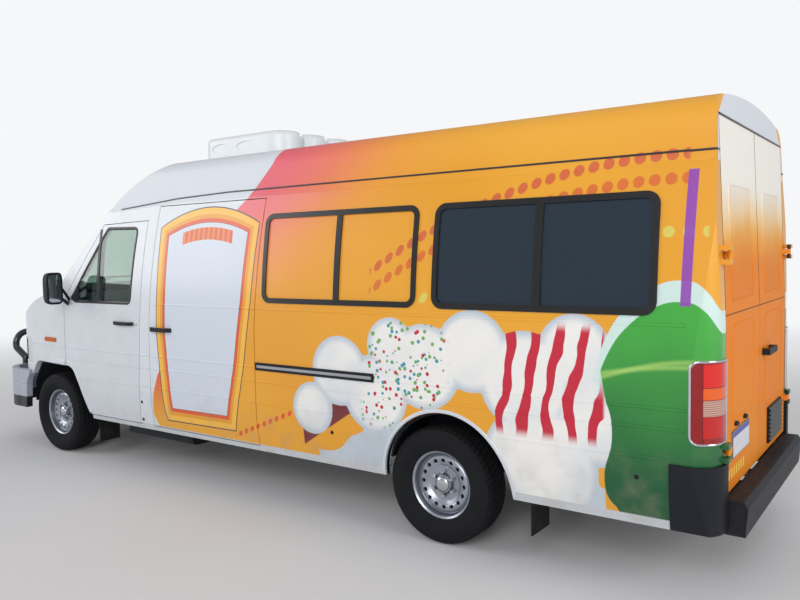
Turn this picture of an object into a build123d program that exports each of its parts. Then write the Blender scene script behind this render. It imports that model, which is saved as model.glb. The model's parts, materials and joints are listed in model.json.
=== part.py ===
from build123d import *
import math
import os

os.makedirs("parts", exist_ok=True)

# An ice cream truck: a long, high-roofed panel van with a serving window, standing on its wheels.
# Millimetres. While it is drawn, x runs forward from the rear axle, y to the left and z up from the ground.

# Overall form; the stations of the front end are measured from the front axle, widths from the flank
WHEELBASE = 4025.0
REAR_FACE_X = -1550.0
REAR_LEAN = 50.0
BODY_HALF = 966.0
SILL_HALF = BODY_HALF - 38
SILL_Z = 358.0
FLANK_LOW_Z = 700.0
FLANK_HIGH_Z = 1100.0
SEAM_HALF = BODY_HALF - 110
SEAM_Z = 2118.0
SEAM_FRONT_Z = 2084.0
CAP_SIDE_HALF = BODY_HALF - 138
CAP_SIDE_Z = 2330.0
CROWN_EDGE_HALF = BODY_HALF - 251
CROWN_EDGE_Z = 2440.0
CROWN_Z = 2492.0
WALL = 45.0
BONNET_THICK = 30.0
SHUT_GAP = 6.0
SEAT_GAP = 0.3

# Front end, on the centre line; PLAN_AXIS_X is the upright axis that its plan curves are struck from
PLAN_AXIS_X = WHEELBASE - 2300
CAP_FRONT_X = WHEELBASE - 570
CAP_FLAT_X = WHEELBASE - 1675
CAP_ARC_Z = 2500.0
SCREEN_FOOT_X = WHEELBASE + 65
SCREEN_FOOT_Z = 1455.0
BONNET_KNEE_X = WHEELBASE + 375
BONNET_KNEE_Z = 1362.0
NOSE_TOP_X = WHEELBASE + 855
NOSE_TOP_Z = 930.0
NOSE_X = WHEELBASE + 890
CORNER_RADIUS_REAR = 130.0
PLAN_MARGIN = 2.0
TAPER_START_X = WHEELBASE - 325
TAPER_X = WHEELBASE + 515
TAPER_HALF = BODY_HALF - 61
NOSE_CORNER_X = WHEELBASE + 835
NOSE_CORNER_HALF = BODY_HALF - 346

# Wheels
TYRE_RADIUS = 347.0
TYRE_WIDTH = 228.0
TRACK = 2 * BODY_HALF - 302
RIM_RADIUS = 190.5
RIM_FLANGE_RADIUS = RIM_RADIUS + 17.5
RIM_WIDTH = 156.0
RUNNING_GAP = 0.09
SPINDLE_RADIUS = 30.0
HUB_BORE = SPINDLE_RADIUS + RUNNING_GAP
VENT_COUNT = 16
STUD_COUNT = 6
KINGPIN_Y = TRACK / 2 - 160
KINGPIN_RADIUS = 20.0
FLOOR_Z = 500.0
ARCH_X = -61.0
ARCH_HALF = TYRE_RADIUS + 86
FLOOR_THICK = 30.0

# Bumpers, step and bar
BUMPER_FRONT_X = WHEELBASE + 983
BUMPER_TOP_Z = 700.0
BUMPER_LOW_Z = 350.0
BUMPER_SIDE_X = WHEELBASE + 387
BUMPER_SIDE_HALF = BODY_HALF + 6
BUMPER_WALL = 55.0
BAR_X = WHEELBASE + 1025
BAR_FOOT_X = WHEELBASE + 905
BAR_HALF = BODY_HALF - 231
BAR_TOP_Z = 995.0
BAR_TUBE = 31.0
STEP_REAR_X = REAR_FACE_X - 105
STEP_TOP_Z = 507.0
STEP_LOW_Z = 335.0

# Shut lines, drawn in x and z
DOOR_FRONT_X = WHEELBASE - 241
DOOR_LOW_Z = SILL_Z + 40
BELT_Z = 1352.0
FRONT_DOOR = [(DOOR_FRONT_X - 999, DOOR_LOW_Z), (DOOR_FRONT_X - 1055, 1200),
              (DOOR_FRONT_X - 1101, SEAM_Z - 124), (DOOR_FRONT_X - 527, SEAM_Z - 137),
              (DOOR_FRONT_X, BELT_Z), (DOOR_FRONT_X, DOOR_LOW_Z)]
FRONT_GLASS = [(DOOR_FRONT_X - 931, BELT_Z - 3), (DOOR_FRONT_X - 984, SEAM_Z - 176),
               (DOOR_FRONT_X - 584, SEAM_Z - 168), (DOOR_FRONT_X - 94, BELT_Z - 3)]
QUARTER_BAR_X = DOOR_FRONT_X - 494
SLIDING_DOOR = [(DOOR_FRONT_X - 2328, DOOR_LOW_Z), (DOOR_FRONT_X - 2328, 1200),
                (DOOR_FRONT_X - 2379, SEAM_Z - 20), (DOOR_FRONT_X - 1236, SEAM_Z - 20),
                (DOOR_FRONT_X - 1174, 1150), (DOOR_FRONT_X - 1166, DOOR_LOW_Z)]
FORWARD_WINDOW = (115.0, 1374.0, 1391.0, 1991.0)
SERVING_WINDOW = (-1276.0, 4.0, 1391.0, 1991.0)
WINDOW_CORNER = 70.0
WINDOW_BORDER = 34.0
REAR_DOOR_HALF = BODY_HALF - 176
REAR_DOOR_LOW_Z = 520.0
REAR_DOOR_TOP_Z = 2335.0
CAB_SPLIT_X = DOOR_FRONT_X - 724
BONNET_REAR_X = WHEELBASE + 115
BONNET_HALF = BODY_HALF - 226
BONNET_LIP_Z = 1014.0
LAMP_LOW_Z = 772.0
LAMP_INNER_HALF = BODY_HALF - 461
LAMP_REAR_X = BUMPER_SIDE_X

# Fittings and running gear
GLASS_DEPTH = 2.0
GLASS_THICK = 6.0
TRIM_PROUD = 8.0
GUARD_PROUD = 18.0
LINER_GAP = 4.0
LINER_THICK = 12.0
LINER_FRONT_Y = TRACK / 2 - 331
LINER_REAR_Y = TRACK / 2 - 175
TOWER_TOP_Z = 920.0
LAMP_SIDE_X = REAR_FACE_X + 118
LAMP_INNER_Y = REAR_DOOR_HALF + 16
LAMP_Z = (797.0, 1184.0)
LAMP_CORNER = 40.0
GUARD_X = REAR_FACE_X + 210
GUARD_Z = (365.0, 690.0)
RAIL_Y = TRACK / 2 - 385
RAIL_HALF_WIDTH = 35.0
RAIL_LOW_Z = FLOOR_Z - 98
CROSS_TOP_Z = TYRE_RADIUS - 17
HANDLE_Z = 1190.0
BULKHEAD_X = WHEELBASE - 175
COWL_Z = 1395.0
TOWER_RADIUS = 78.0
DIFF_RADIUS = 128.0
DIFF_Y = 60.0
AXLE_TUBE = 42.0
SPRING_Y = RAIL_Y + 90
SPRING_HALF = 640.0
SPRING_EYE_Z = FLOOR_Z - 45
LEAF_THICK = 11.0
PROP_END_X = WHEELBASE - 725
ARM_Z = TYRE_RADIUS - 122
COOLER_HALF = 450.0
DOME_RADIUS = 158.0
PIPE_Y = 130 - RAIL_Y
PIPE_Z = 350.0
TANK_X = WHEELBASE - 1745
DRIVER_Y = 536 - BODY_HALF
SEAT_X = WHEELBASE - 1125

# Hinges; a front door turns about (DOOR_FRONT_X - 9, BODY_HALF), the bonnet about (BONNET_REAR_X + 6, 1446)
REAR_HINGE = (REAR_FACE_X - 18, REAR_DOOR_HALF + 10)
REAR_HINGE_Z = (727.0, 1661.0)
KNUCKLE = 30.0
BARREL_RADIUS = 11.0

# Limits of the space that cuts reach over
BELOW = 300.0
FAR = 3000.0
AHEAD_X = WHEELBASE + 1175
BEHIND_X = REAR_FACE_X - 250
SIDE_Y = BODY_HALF + 134

FRONT_END_X = BAR_X + BAR_TUBE
REAR_END_X = STEP_REAR_X
MIDDLE_X = (FRONT_END_X + REAR_END_X) / 2


# Drawing helpers

def across(face, y_low, y_high):
    """Extrude an outline drawn in x and z between two y stations."""
    return extrude(Plane.XZ.offset(-y_low) * face, -(y_high - y_low))


def along(face, x_low, x_high):
    """Extrude an outline drawn in y and z between two x stations."""
    return extrude(Plane.YZ.offset(x_low) * face, x_high - x_low)


def upright(face, z_low, z_high):
    """Extrude an outline drawn in x and y between two heights."""
    return extrude(Plane.XY.offset(z_low) * face, z_high - z_low)


def block(x_low, x_high, y_low, y_high, z_low, z_high):
    """Box between two corners."""
    size = (x_high - x_low, y_high - y_low, z_high - z_low)
    centre = ((x_low + x_high) / 2, (y_low + y_high) / 2, (z_low + z_high) / 2)
    return Pos(*centre) * Box(*size)


def rounded(points, radius):
    """Closed outline through the points with every corner rounded."""
    face = make_face(Polyline(*points, close=True))
    return fillet(face.vertices(), radius)


def window_outline(bounds, grow, radius):
    """Rounded rectangle in x and z, grown by an amount."""
    x_low, x_high, z_low, z_high = bounds
    centre = Pos((x_low + x_high) / 2, (z_low + z_high) / 2)
    return centre * RectangleRounded(x_high - x_low + 2 * grow, z_high - z_low + 2 * grow, radius + grow)


def rod(start, end, radius):
    """Round bar from one point to another."""
    line = Line(start, end)
    return extrude(Plane(origin=start, z_dir=line % 0) * Circle(radius), line.length)


def y_drum(x, z, radius, y_low, y_high):
    """Cylinder across the truck."""
    return across(Pos(x, z) * Circle(radius), y_low, y_high)


def z_drum(x, y, radius, z_low, z_high):
    """Upright cylinder."""
    return upright(Pos(x, y) * Circle(radius), z_low, z_high)


def opposite(shape):
    """The same shape on the other side of the truck."""
    return mirror(shape, Plane.XZ)


def pair(shape):
    """A shape and its mirror image."""
    return shape + opposite(shape)


def save(node, shape):
    """Write one node in the truck's own frame, centred along its length."""
    export_step(Pos(-MIDDLE_X, 0, 0) * shape, f"parts/{node}.step")


# Body form

def heading(start, end):
    """Direction of travel from one point to the next, in degrees."""
    return math.degrees(math.atan2(end[1] - start[1], end[0] - start[0]))


def arc_end(start, end, start_heading):
    """Heading at the end of a tangent arc."""
    return 2 * heading(start, end) - start_heading


def moved(point, before, after, inset, turn=90):
    """Move a corner inward so that the lines that meet there, given by their headings, move by the inset."""
    a = math.radians(before + turn)
    b = math.radians(after + turn)
    spread = math.sin(b - a)
    if abs(spread) < 0.01:
        return (point[0] - inset * math.cos(a), point[1] - inset * math.sin(a))
    shift_x = -inset * (math.sin(b) - math.sin(a)) / spread
    shift_z = -inset * (math.cos(a) - math.cos(b)) / spread
    return (point[0] + shift_x, point[1] + shift_z)


def section_face(inset):
    """Cross-section in y and z: curved sill, upright flank, tumblehome, roof cap with a crowned top."""
    sill, low, high = (SILL_HALF, SILL_Z), (BODY_HALF, FLANK_LOW_Z), (BODY_HALF, FLANK_HIGH_Z)
    seam, cap, edge = (SEAM_HALF, SEAM_Z), (CAP_SIDE_HALF, CAP_SIDE_Z), (CROWN_EDGE_HALF, CROWN_EDGE_Z)
    sill_heading = 180 + arc_end(low, sill, -90)
    seam_heading = arc_end(high, seam, 90)
    cap_heading = heading(seam, cap)
    edge_heading = arc_end(cap, edge, cap_heading)
    half = [moved(sill, 0, sill_heading, inset, -90),
            moved(low, 90, 90, inset, -90),
            moved(high, 90, 90, inset, -90),
            moved(seam, seam_heading, cap_heading, inset, -90),
            moved(cap, cap_heading, cap_heading, inset, -90),
            moved(edge, edge_heading, edge_heading, inset, -90)]
    edges = []
    for side in (1, -1):
        sill, low, high, seam, cap, edge = [(side * y, z) for y, z in half]
        edges += [
            TangentArc(low, sill, tangent=(0, -1)),
            Line(low, high),
            TangentArc(high, seam, tangent=(0, 1)),
            Line(seam, cap),
            TangentArc(cap, edge, tangent=(cap[0] - seam[0], cap[1] - seam[1])),
        ]
    edges.append(ThreePointArc((-edge[0], edge[1]), (0, CROWN_Z - inset), edge))
    edges.append(Line((-sill[0], sill[1]), sill))
    return make_face(edges)


def front_face(inset):
    """Centre-line profile ahead of the plan axis, in x and z: roof cap, screen, bonnet and nose."""
    top, cap = (CAP_FLAT_X, CAP_ARC_Z), (CAP_FRONT_X, SEAM_FRONT_Z)
    foot, knee = (SCREEN_FOOT_X, SCREEN_FOOT_Z), (BONNET_KNEE_X, BONNET_KNEE_Z)
    nose, chin = (NOSE_TOP_X, NOSE_TOP_Z), (NOSE_X, BUMPER_TOP_Z)
    cap_heading = arc_end(top, cap, 0)
    screen_heading = heading(cap, foot)
    bonnet_heading = heading(foot, knee)
    nose_heading, chin_heading = arc_end(knee, nose, bonnet_heading), heading(nose, chin)
    top = moved(top, 0, 0, inset)
    cap = moved(cap, cap_heading, screen_heading, inset)
    foot = moved(foot, screen_heading, bonnet_heading, inset)
    knee = moved(knee, bonnet_heading, bonnet_heading, inset)
    nose = moved(nose, nose_heading, chin_heading, inset)
    chin = moved(chin, chin_heading, -90, inset)
    low = SILL_Z - 120
    return make_face([
        Line((PLAN_AXIS_X, low), (PLAN_AXIS_X, top[1])),
        Line((PLAN_AXIS_X, top[1]), top),
        TangentArc(top, cap, tangent=(1, 0)),
        Line(cap, foot),
        Line(foot, knee),
        TangentArc(knee, nose, tangent=(knee[0] - foot[0], knee[1] - foot[1])),
        Line(nose, chin),
        Line(chin, (chin[0], low)),
        Line((chin[0], low), (PLAN_AXIS_X, low)),
    ])


def plan_face(inset):
    """Plan outline: rounded rear corners, straight flanks, tapering front corners."""
    corner = CORNER_RADIUS_REAR
    full = BODY_HALF + PLAN_MARGIN
    half = full - inset
    rear = REAR_FACE_X + inset
    start, taper = (TAPER_START_X, full), (TAPER_X, TAPER_HALF)
    cheek, end = (NOSE_CORNER_X, NOSE_CORNER_HALF), (NOSE_X + 60, NOSE_CORNER_HALF * 0.6)
    headings = [arc_end(start, taper, 0), heading(taper, cheek), heading(cheek, end), -90]
    taper = moved(taper, headings[0], headings[1], inset)
    cheek = moved(cheek, headings[1], headings[2], inset)
    end = moved(end, headings[2], headings[3], inset)
    edges = []
    for side in (1, -1):
        edges += [
            TangentArc((REAR_FACE_X + corner, side * half), (rear, side * (full - corner)), tangent=(-1, 0)),
            Line((REAR_FACE_X + corner, side * half), (TAPER_START_X, side * half)),
            TangentArc((TAPER_START_X, side * half), (taper[0], side * taper[1]), tangent=(1, 0)),
            Line((taper[0], side * taper[1]), (cheek[0], side * cheek[1])),
            Line((cheek[0], side * cheek[1]), (end[0], side * end[1])),
        ]
    edges.append(Line((rear, full - corner), (rear, corner - full)))
    edges.append(Line(end, (end[0], -end[1])))
    face = make_face(edges)
    cheeks = [v for v in face.vertices() if abs(v.X - cheek[0]) < 1 or abs(v.X - taper[0]) < 1]
    return fillet(cheeks, 150 - inset)


def body_form(inset):
    """The whole body as one solid, its surface moved inward by an amount (outward if it is negative)."""
    rear_x = REAR_FACE_X + inset
    low = SILL_Z - 130
    lean = [(rear_x, low), (rear_x, BELT_Z), (rear_x + REAR_LEAN, CROWN_Z + 50)]
    front_x = PLAN_AXIS_X + 200
    back = make_face(Polyline(*lean, (front_x, CROWN_Z + 50), (front_x, low), close=True))
    reach = 2 * BODY_HALF
    half_turn = Plane(origin=(PLAN_AXIS_X, 0, 0), x_dir=(0, -1, 0), z_dir=(-1, 0, 0))
    front = half_turn * Pos(-PLAN_AXIS_X, 0) * front_face(inset)
    length = revolve(front, Axis((PLAN_AXIS_X, 0, 0), (0, 0, 1)), 180) + across(back, -reach, reach)
    tube = along(section_face(inset), REAR_FACE_X - 200, NOSE_X + 200)
    return tube & upright(plan_face(inset), low, CROWN_Z + 100) & length


outer = body_form(0.0)
inner = body_form(WALL)
shell = outer - inner
cabin_space = body_form(WALL + SEAT_GAP)
seat_form = body_form(-SEAT_GAP)
proud_form = body_form(-TRIM_PROUD)
trim_skin = proud_form - seat_form
bonnet_skin_form = body_form(BONNET_THICK)
pane_skin = body_form(GLASS_DEPTH) - body_form(GLASS_DEPTH + GLASS_THICK)

# Openings in the shell


def grown(points, amount):
    """A shut-line outline, grown all round by an amount."""
    face = make_face(Polyline(*points, close=True))
    return offset(face, amount, kind=Kind.INTERSECTION) if amount else face


def front_arch(grow):
    """Front wheel opening in x and z: flat top with rounded shoulders and a raked rear edge."""
    g = grow
    x = WHEELBASE
    r = TYRE_RADIUS
    points = [(x - 233 - r - g, BELOW), (x - 78 - r - g, r + 293), (x + 17 - r - g, 2 * r + 96 + g),
              (x - 77 + r + g, 2 * r + 106 + g), (x + 93 + r + g, r + 253), (x + 125 + r + g, BELOW)]
    face = make_face(Polyline(*points, close=True))
    return fillet([v for v in face.vertices() if v.Y > 500], 130)


def rear_arch(grow):
    """Rear wheel opening in x and z."""
    return Pos(ARCH_X, TYRE_RADIUS - 2) * Ellipse(ARCH_HALF + grow, TYRE_RADIUS + 101 + grow)


def arch_cut(face, y_low):
    """A wheel opening cut through one flank and down past the sill."""
    return across(face, y_low, SIDE_Y)


front_arch_cut = arch_cut(front_arch(0), TRACK / 2 - 255)
rear_arch_cut = arch_cut(rear_arch(0), LINER_REAR_Y)
rear_arch_cut = rear_arch_cut + block(ARCH_X - ARCH_HALF, ARCH_X + ARCH_HALF, LINER_REAR_Y, SIDE_Y,
                                      BELOW - 150, TYRE_RADIUS - 2)
seam_points = [(BEHIND_X, BELOW), (BEHIND_X, SEAM_Z), (CAP_FLAT_X, SEAM_Z), (CAB_SPLIT_X, SEAM_FRONT_Z),
               (AHEAD_X, SEAM_FRONT_Z), (AHEAD_X, BELOW)]
below_seam = across(make_face(Polyline(*seam_points, close=True)), -FAR, FAR)
aperture_half = REAR_DOOR_HALF + SHUT_GAP
rear_aperture = block(REAR_FACE_X - 60, REAR_FACE_X + 150, -aperture_half, aperture_half, BELOW,
                      REAR_DOOR_TOP_Z + SHUT_GAP)
lamp_outline = [(REAR_FACE_X - 90, LAMP_Z[0]), (LAMP_SIDE_X, LAMP_Z[0]), (LAMP_SIDE_X, LAMP_Z[1]),
                (REAR_FACE_X - 90, LAMP_Z[1])]
lamp_side_cut = across(rounded(lamp_outline, LAMP_CORNER), LAMP_INNER_Y, SIDE_Y)

# Flanks: everything behind the cab, with the doors and windows cut out

wall_zone = [(BEHIND_X, BELOW), (WHEELBASE - 560, BELOW), (WHEELBASE - 560, 800), (CAB_SPLIT_X, 800),
             (CAB_SPLIT_X, 2200), (BEHIND_X, 2200)]
zone = across(make_face(Polyline(*wall_zone, close=True)), 0, FAR)
hollow = block(BEHIND_X, AHEAD_X, -SILL_HALF + 70, SILL_HALF - 70, BELOW, SILL_Z + WALL + 1)
flank = (shell & zone & below_seam) - hollow - rear_aperture - rear_arch_cut - front_arch_cut - lamp_side_cut
flank = flank - across(grown(FRONT_DOOR, SHUT_GAP), 0, FAR)
left_cut = across(grown(SLIDING_DOOR, SHUT_GAP), 0, FAR)
forward_cut = across(window_outline(FORWARD_WINDOW, 10 - WINDOW_BORDER, WINDOW_CORNER), 0, FAR)
serving_cut = across(window_outline(SERVING_WINDOW, 10 - WINDOW_BORDER, WINDOW_CORNER), 0, FAR)
striker = grown(FRONT_DOOR, SHUT_GAP + 1) - grown(FRONT_DOOR, SEAT_GAP)
striker = across(striker, BODY_HALF - 15, BODY_HALF - 4)
flank = flank + (striker & block(DOOR_FRONT_X - 1134, DOOR_FRONT_X - 984, 0, FAR, 1150, 1190))
hinge_x, hinge_y = REAR_HINGE
for low in REAR_HINGE_Z:
    for z_low, z_high in ((low - 30, low - SEAT_GAP), (low + KNUCKLE + SEAT_GAP, low + KNUCKLE + 30)):
        flank = flank + z_drum(hinge_x, hinge_y, BARREL_RADIUS, z_low, z_high)
    for z_low in (low - 30, low + KNUCKLE + SHUT_GAP):
        flank = flank + block(hinge_x - 12, REAR_FACE_X + 20, hinge_y + 6, hinge_y + 50, z_low, z_low + 24)
save("left_side_wall", flank - left_cut - forward_cut - serving_cut)
save("right_side_wall", opposite(flank - forward_cut))

# Roof cap, standing on the seam all round

roof = shell & block(BEHIND_X, AHEAD_X, -FAR, FAR, SEAM_FRONT_Z - 100, FAR)
roof = roof - Pos(0, 0, SEAT_GAP) * below_seam - rear_aperture
save("high_roof", roof)

# Cab frame: pillars, screen header, cowl and bulkhead

SCREEN = [(166 - BODY_HALF, SCREEN_FOOT_Z + 27), (254 - BODY_HALF, SEAM_FRONT_Z - 38),
          (BODY_HALF - 254, SEAM_FRONT_Z - 38), (BODY_HALF - 166, SCREEN_FOOT_Z + 27)]
screen_cut = along(rounded(SCREEN, 60), CAB_SPLIT_X + 60, BONNET_KNEE_X)
cab = shell & below_seam & block(CAB_SPLIT_X + SEAT_GAP, BONNET_REAR_X - SHUT_GAP, -FAR, FAR, BELT_Z, FAR)
cab = cab - screen_cut - pair(across(grown(FRONT_DOOR, SHUT_GAP), 0, FAR))
front_well = pair(across(front_arch(SEAT_GAP - LINER_GAP), LINER_FRONT_Y - SEAT_GAP, SIDE_Y))
rear_well = pair(across(rear_arch(SEAT_GAP - LINER_GAP), LINER_REAR_Y - SEAT_GAP, SIDE_Y))
bulkhead = block(BULKHEAD_X, BULKHEAD_X + 20, -FAR, FAR, FLOOR_Z + FLOOR_THICK + SEAT_GAP, COWL_Z)
bulkhead = cabin_space & bulkhead
cowl = block(BULKHEAD_X, BONNET_REAR_X - SHUT_GAP, 86 - BODY_HALF, BODY_HALF - 86, COWL_Z - 1, COWL_Z + 14)
cowl = body_form(WALL - 1) & cowl
cab = cab + ((bulkhead + cowl) - front_well)
save("cab_frame", cab)
screen_face = offset(rounded(SCREEN, 60), -SEAT_GAP)
save("windscreen", pane_skin & along(screen_face, CAB_SPLIT_X + 60, BONNET_KNEE_X))

# Bonnet, wings, lamps and grille

bonnet_zone = block(BONNET_REAR_X, AHEAD_X, -BONNET_HALF, BONNET_HALF, BONNET_LIP_Z, FAR)
save("bonnet", (outer - bonnet_skin_form) & bonnet_zone)

bumper_zone = block(BUMPER_SIDE_X - SHUT_GAP, AHEAD_X, -FAR, FAR, BELOW, BUMPER_TOP_Z + SEAT_GAP)
lamp_zone = block(LAMP_REAR_X - SHUT_GAP, AHEAD_X, LAMP_INNER_HALF, FAR, LAMP_LOW_Z, BONNET_LIP_Z - SHUT_GAP)
wing = shell & block(DOOR_FRONT_X + SHUT_GAP, AHEAD_X, BONNET_HALF + SHUT_GAP, FAR, BELOW, FAR)
wing = wing - block(DOOR_FRONT_X, BONNET_REAR_X - SHUT_GAP + SEAT_GAP, 0, FAR, BELT_Z - SEAT_GAP, FAR)
wing = wing - front_arch_cut - bumper_zone - lamp_zone
save("front_fenders", pair(wing))

nose_wall = outer - body_form(60)
lamp = nose_wall & block(LAMP_REAR_X - SHUT_GAP + 0.5, AHEAD_X, LAMP_INNER_HALF, FAR, LAMP_LOW_Z + SEAT_GAP,
                         BONNET_LIP_Z - SHUT_GAP - SEAT_GAP)
save("headlamps", pair(lamp))

grille_half = LAMP_INNER_HALF - SEAT_GAP
grille_x = WHEELBASE + 575
grille = nose_wall & block(grille_x, AHEAD_X, -grille_half, grille_half, BUMPER_TOP_Z + SEAT_GAP,
                           BONNET_LIP_Z - SHUT_GAP)
for level in range(4):
    slot_z = LAMP_LOW_Z + 14 + level * 56
    grille = grille - block(grille_x, AHEAD_X, 75 - LAMP_INNER_HALF, LAMP_INNER_HALF - 75,
                            slot_z, slot_z + 30)
buffer_y = LAMP_INNER_HALF - 43
buffer_x = PLAN_AXIS_X + math.sqrt((NOSE_X - 85 - PLAN_AXIS_X) ** 2 - buffer_y ** 2)
buffers = z_drum(buffer_x, buffer_y, 11, BONNET_LIP_Z - SHUT_GAP - 8, BONNET_LIP_Z - SEAT_GAP)
save("grille", grille + pair(buffers))

# Front bumper with wrapped ends, and the tubular nudge bar


def bumper_plan(grow):
    """Plan outline of the bumper's outer face."""
    edges = []
    for side in (1, -1):
        flank = (WHEELBASE + 575 + grow * 0.5, side * (BUMPER_SIDE_HALF - 22 + grow))
        corner = (BUMPER_FRONT_X - 56 + grow, side * (BODY_HALF - 276))
        middle = (BUMPER_FRONT_X - 138 + grow * 0.7, side * (BODY_HALF - 108 + grow * 0.7))
        edges.append(Line((WHEELBASE + 175, side * (BUMPER_SIDE_HALF + grow)), flank))
        edges.append(ThreePointArc(flank, middle, corner))
    end = (WHEELBASE + 175, BUMPER_SIDE_HALF + grow)
    edges.append(ThreePointArc((corner[0], -corner[1]), (BUMPER_FRONT_X + grow, 0), corner))
    edges.append(Line(end, (end[0], -end[1])))
    return make_face(edges)


bumper = upright(bumper_plan(0), BUMPER_LOW_Z, BUMPER_TOP_Z) - upright(bumper_plan(-BUMPER_WALL), BELOW, FAR)
bumper = (bumper & block(BUMPER_SIDE_X, AHEAD_X, -FAR, FAR, BELOW, FAR)) - pair(front_arch_cut)
save("front_bumper", bumper)

bar_points = []
for side in (-1, 1):
    stations = [(BAR_FOOT_X, side * (BAR_HALF - 25), BUMPER_TOP_Z + SEAT_GAP),
                (BAR_FOOT_X, side * (BAR_HALF - 25), BUMPER_TOP_Z + 60),
                (BAR_X, side * BAR_HALF, BUMPER_TOP_Z + 150), (BAR_X, side * BAR_HALF, BAR_TOP_Z)]
    bar_points += stations if side < 0 else stations[::-1]
bar_path = FilletPolyline(*bar_points, radius=[30, 50, 110, 110, 50, 30])
bar = sweep(Plane(origin=bar_path @ 0, z_dir=bar_path % 0) * Circle(BAR_TUBE), bar_path)
save("nudge_bar", bar)

# Doors


def door_handle(x_low, x_high):
    """Pull handle bowed out from the flank on two feet."""
    root, foot, bow = BODY_HALF - 36, BODY_HALF + 9, BODY_HALF + 38
    face = Polygon((x_low, root), (x_low, foot), (x_low + 40, bow), (x_high - 40, bow), (x_high, foot),
                   (x_high, root), align=None)
    grip = Polygon((x_low + 45, root), (x_low + 45, foot), (x_low + 60, bow - 20), (x_high - 60, bow - 20),
                   (x_high - 45, foot), (x_high - 45, root), align=None)
    return upright(face - grip, HANDLE_Z - 15, HANDLE_Z + 15) - seat_form


glass_face = rounded(FRONT_GLASS, 40)
quarter_bar = block(QUARTER_BAR_X - 16, QUARTER_BAR_X + 16, 0, FAR, 1300, 2000)
door = (shell & across(grown(FRONT_DOOR, 0), 0, FAR)) - hollow
door = door - arch_cut(front_arch(SHUT_GAP), TRACK / 2 - 255)
door = door - (across(glass_face, 0, FAR) - quarter_bar)
bar_room = block(QUARTER_BAR_X - 16 - SEAT_GAP, QUARTER_BAR_X + 16 + SEAT_GAP, 0, FAR, 1300, 2000)
panes = pane_skin & (across(offset(glass_face, -SEAT_GAP), 0, FAR) - bar_room)
housing = block(DOOR_FRONT_X - 184, DOOR_FRONT_X - 84, BODY_HALF + 54, BODY_HALF + 249, 1345, 1590)
housing = fillet(housing.edges(), 28)
arm = rod((DOOR_FRONT_X - 49, BODY_HALF - 26, 1320), (DOOR_FRONT_X - 116, BODY_HALF + 104, 1395), 17)
arm = arm + rod((DOOR_FRONT_X - 74, BODY_HALF - 26, 1338), (DOOR_FRONT_X - 144, BODY_HALF + 104, 1480), 13)
fittings = (housing + arm - seat_form) + door_handle(DOOR_FRONT_X - 978, DOOR_FRONT_X - 732)
for side, place in (("left", lambda s: s), ("right", opposite)):
    save(f"{side}_front_door", place(door))
    save(f"{side}_door_glass", place(panes))
    save(f"{side}_door_mirror_and_handle", place(fittings))

save("sliding_door", (shell & across(grown(SLIDING_DOOR, 0), 0, FAR)) - hollow)
rail = trim_skin & block(DOOR_FRONT_X - 3360, DOOR_FRONT_X - 2340, 0, FAR, 929, 982)
save("sliding_door_rail_and_handle", rail + door_handle(DOOR_FRONT_X - 1444, DOOR_FRONT_X - 1194))

rear_door = shell & block(REAR_FACE_X - 60, REAR_FACE_X + 92, SHUT_GAP / 2, REAR_DOOR_HALF, REAR_DOOR_LOW_Z,
                          REAR_DOOR_TOP_Z)
for low in REAR_HINGE_Z:
    barrel = z_drum(hinge_x, hinge_y, BARREL_RADIUS, low, low + KNUCKLE)
    leaf = block(hinge_x - 4, REAR_FACE_X + 30, hinge_y - 60, hinge_y - 12, low, low + KNUCKLE)
    neck = block(hinge_x - 4, hinge_x + 4, hinge_y - 60, hinge_y, low, low + KNUCKLE)
    rear_door = rear_door + ((leaf - outer) + neck + barrel)
save("left_rear_door", rear_door)
save("right_rear_door", opposite(rear_door))
plate = block(REAR_FACE_X - 8, REAR_FACE_X - SEAT_GAP, 289, 661, 673, 807)
save("number_plate", plate)
vent = block(REAR_FACE_X - 12, REAR_FACE_X - SEAT_GAP, -634, -230, 560, 770)
pull = block(REAR_FACE_X - 42, REAR_FACE_X - SEAT_GAP, -300, -70, 1100, 1135)
pull = pull - block(REAR_FACE_X - 28, REAR_FACE_X, -262, -108, 1090, 1145)
save("rear_door_vent_and_handle", vent + pull)

# Windows, lamps, guards and other fittings of the body


def window_frame(bounds, bar_x):
    """Black surround clamped over the wall round a window, with its divider."""
    ring = window_outline(bounds, 0, WINDOW_CORNER) - window_outline(bounds, -WINDOW_BORDER, WINDOW_CORNER)
    bar = block(bar_x - 22, bar_x + 22, 0, FAR, bounds[2] + 20, bounds[3] - 20)
    return trim_skin & (across(ring, 0, FAR) + bar)


def window_panes(bounds):
    """Glass set into the opening behind a frame."""
    return pane_skin & across(window_outline(bounds, 10 - WINDOW_BORDER - SEAT_GAP, WINDOW_CORNER), 0, FAR)


forward_frame = window_frame(FORWARD_WINDOW, 719)
forward_panes = window_panes(FORWARD_WINDOW)
save("side_window_frames", forward_frame + opposite(forward_frame) + window_frame(SERVING_WINDOW, -650))
save("forward_window_panes", pair(forward_panes))
save("serving_window_glass", window_panes(SERVING_WINDOW))

lamp_zone = across(offset(rounded(lamp_outline, LAMP_CORNER), -SEAT_GAP), LAMP_INNER_Y + SEAT_GAP, SIDE_Y)
save("tail_lamps", pair((proud_form - bonnet_skin_form) & lamp_zone))
guard_zone = block(REAR_FACE_X - 60, GUARD_X, REAR_DOOR_HALF + SHUT_GAP, SIDE_Y, *GUARD_Z)
save("rear_corner_guards", pair((body_form(-GUARD_PROUD) - seat_form) & guard_zone))
marker = trim_skin & across(window_outline((WHEELBASE - 94, WHEELBASE + 98, 987, 1023), 0, 8), 0, FAR)
save("side_marker_lamps", pair(marker))

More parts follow.
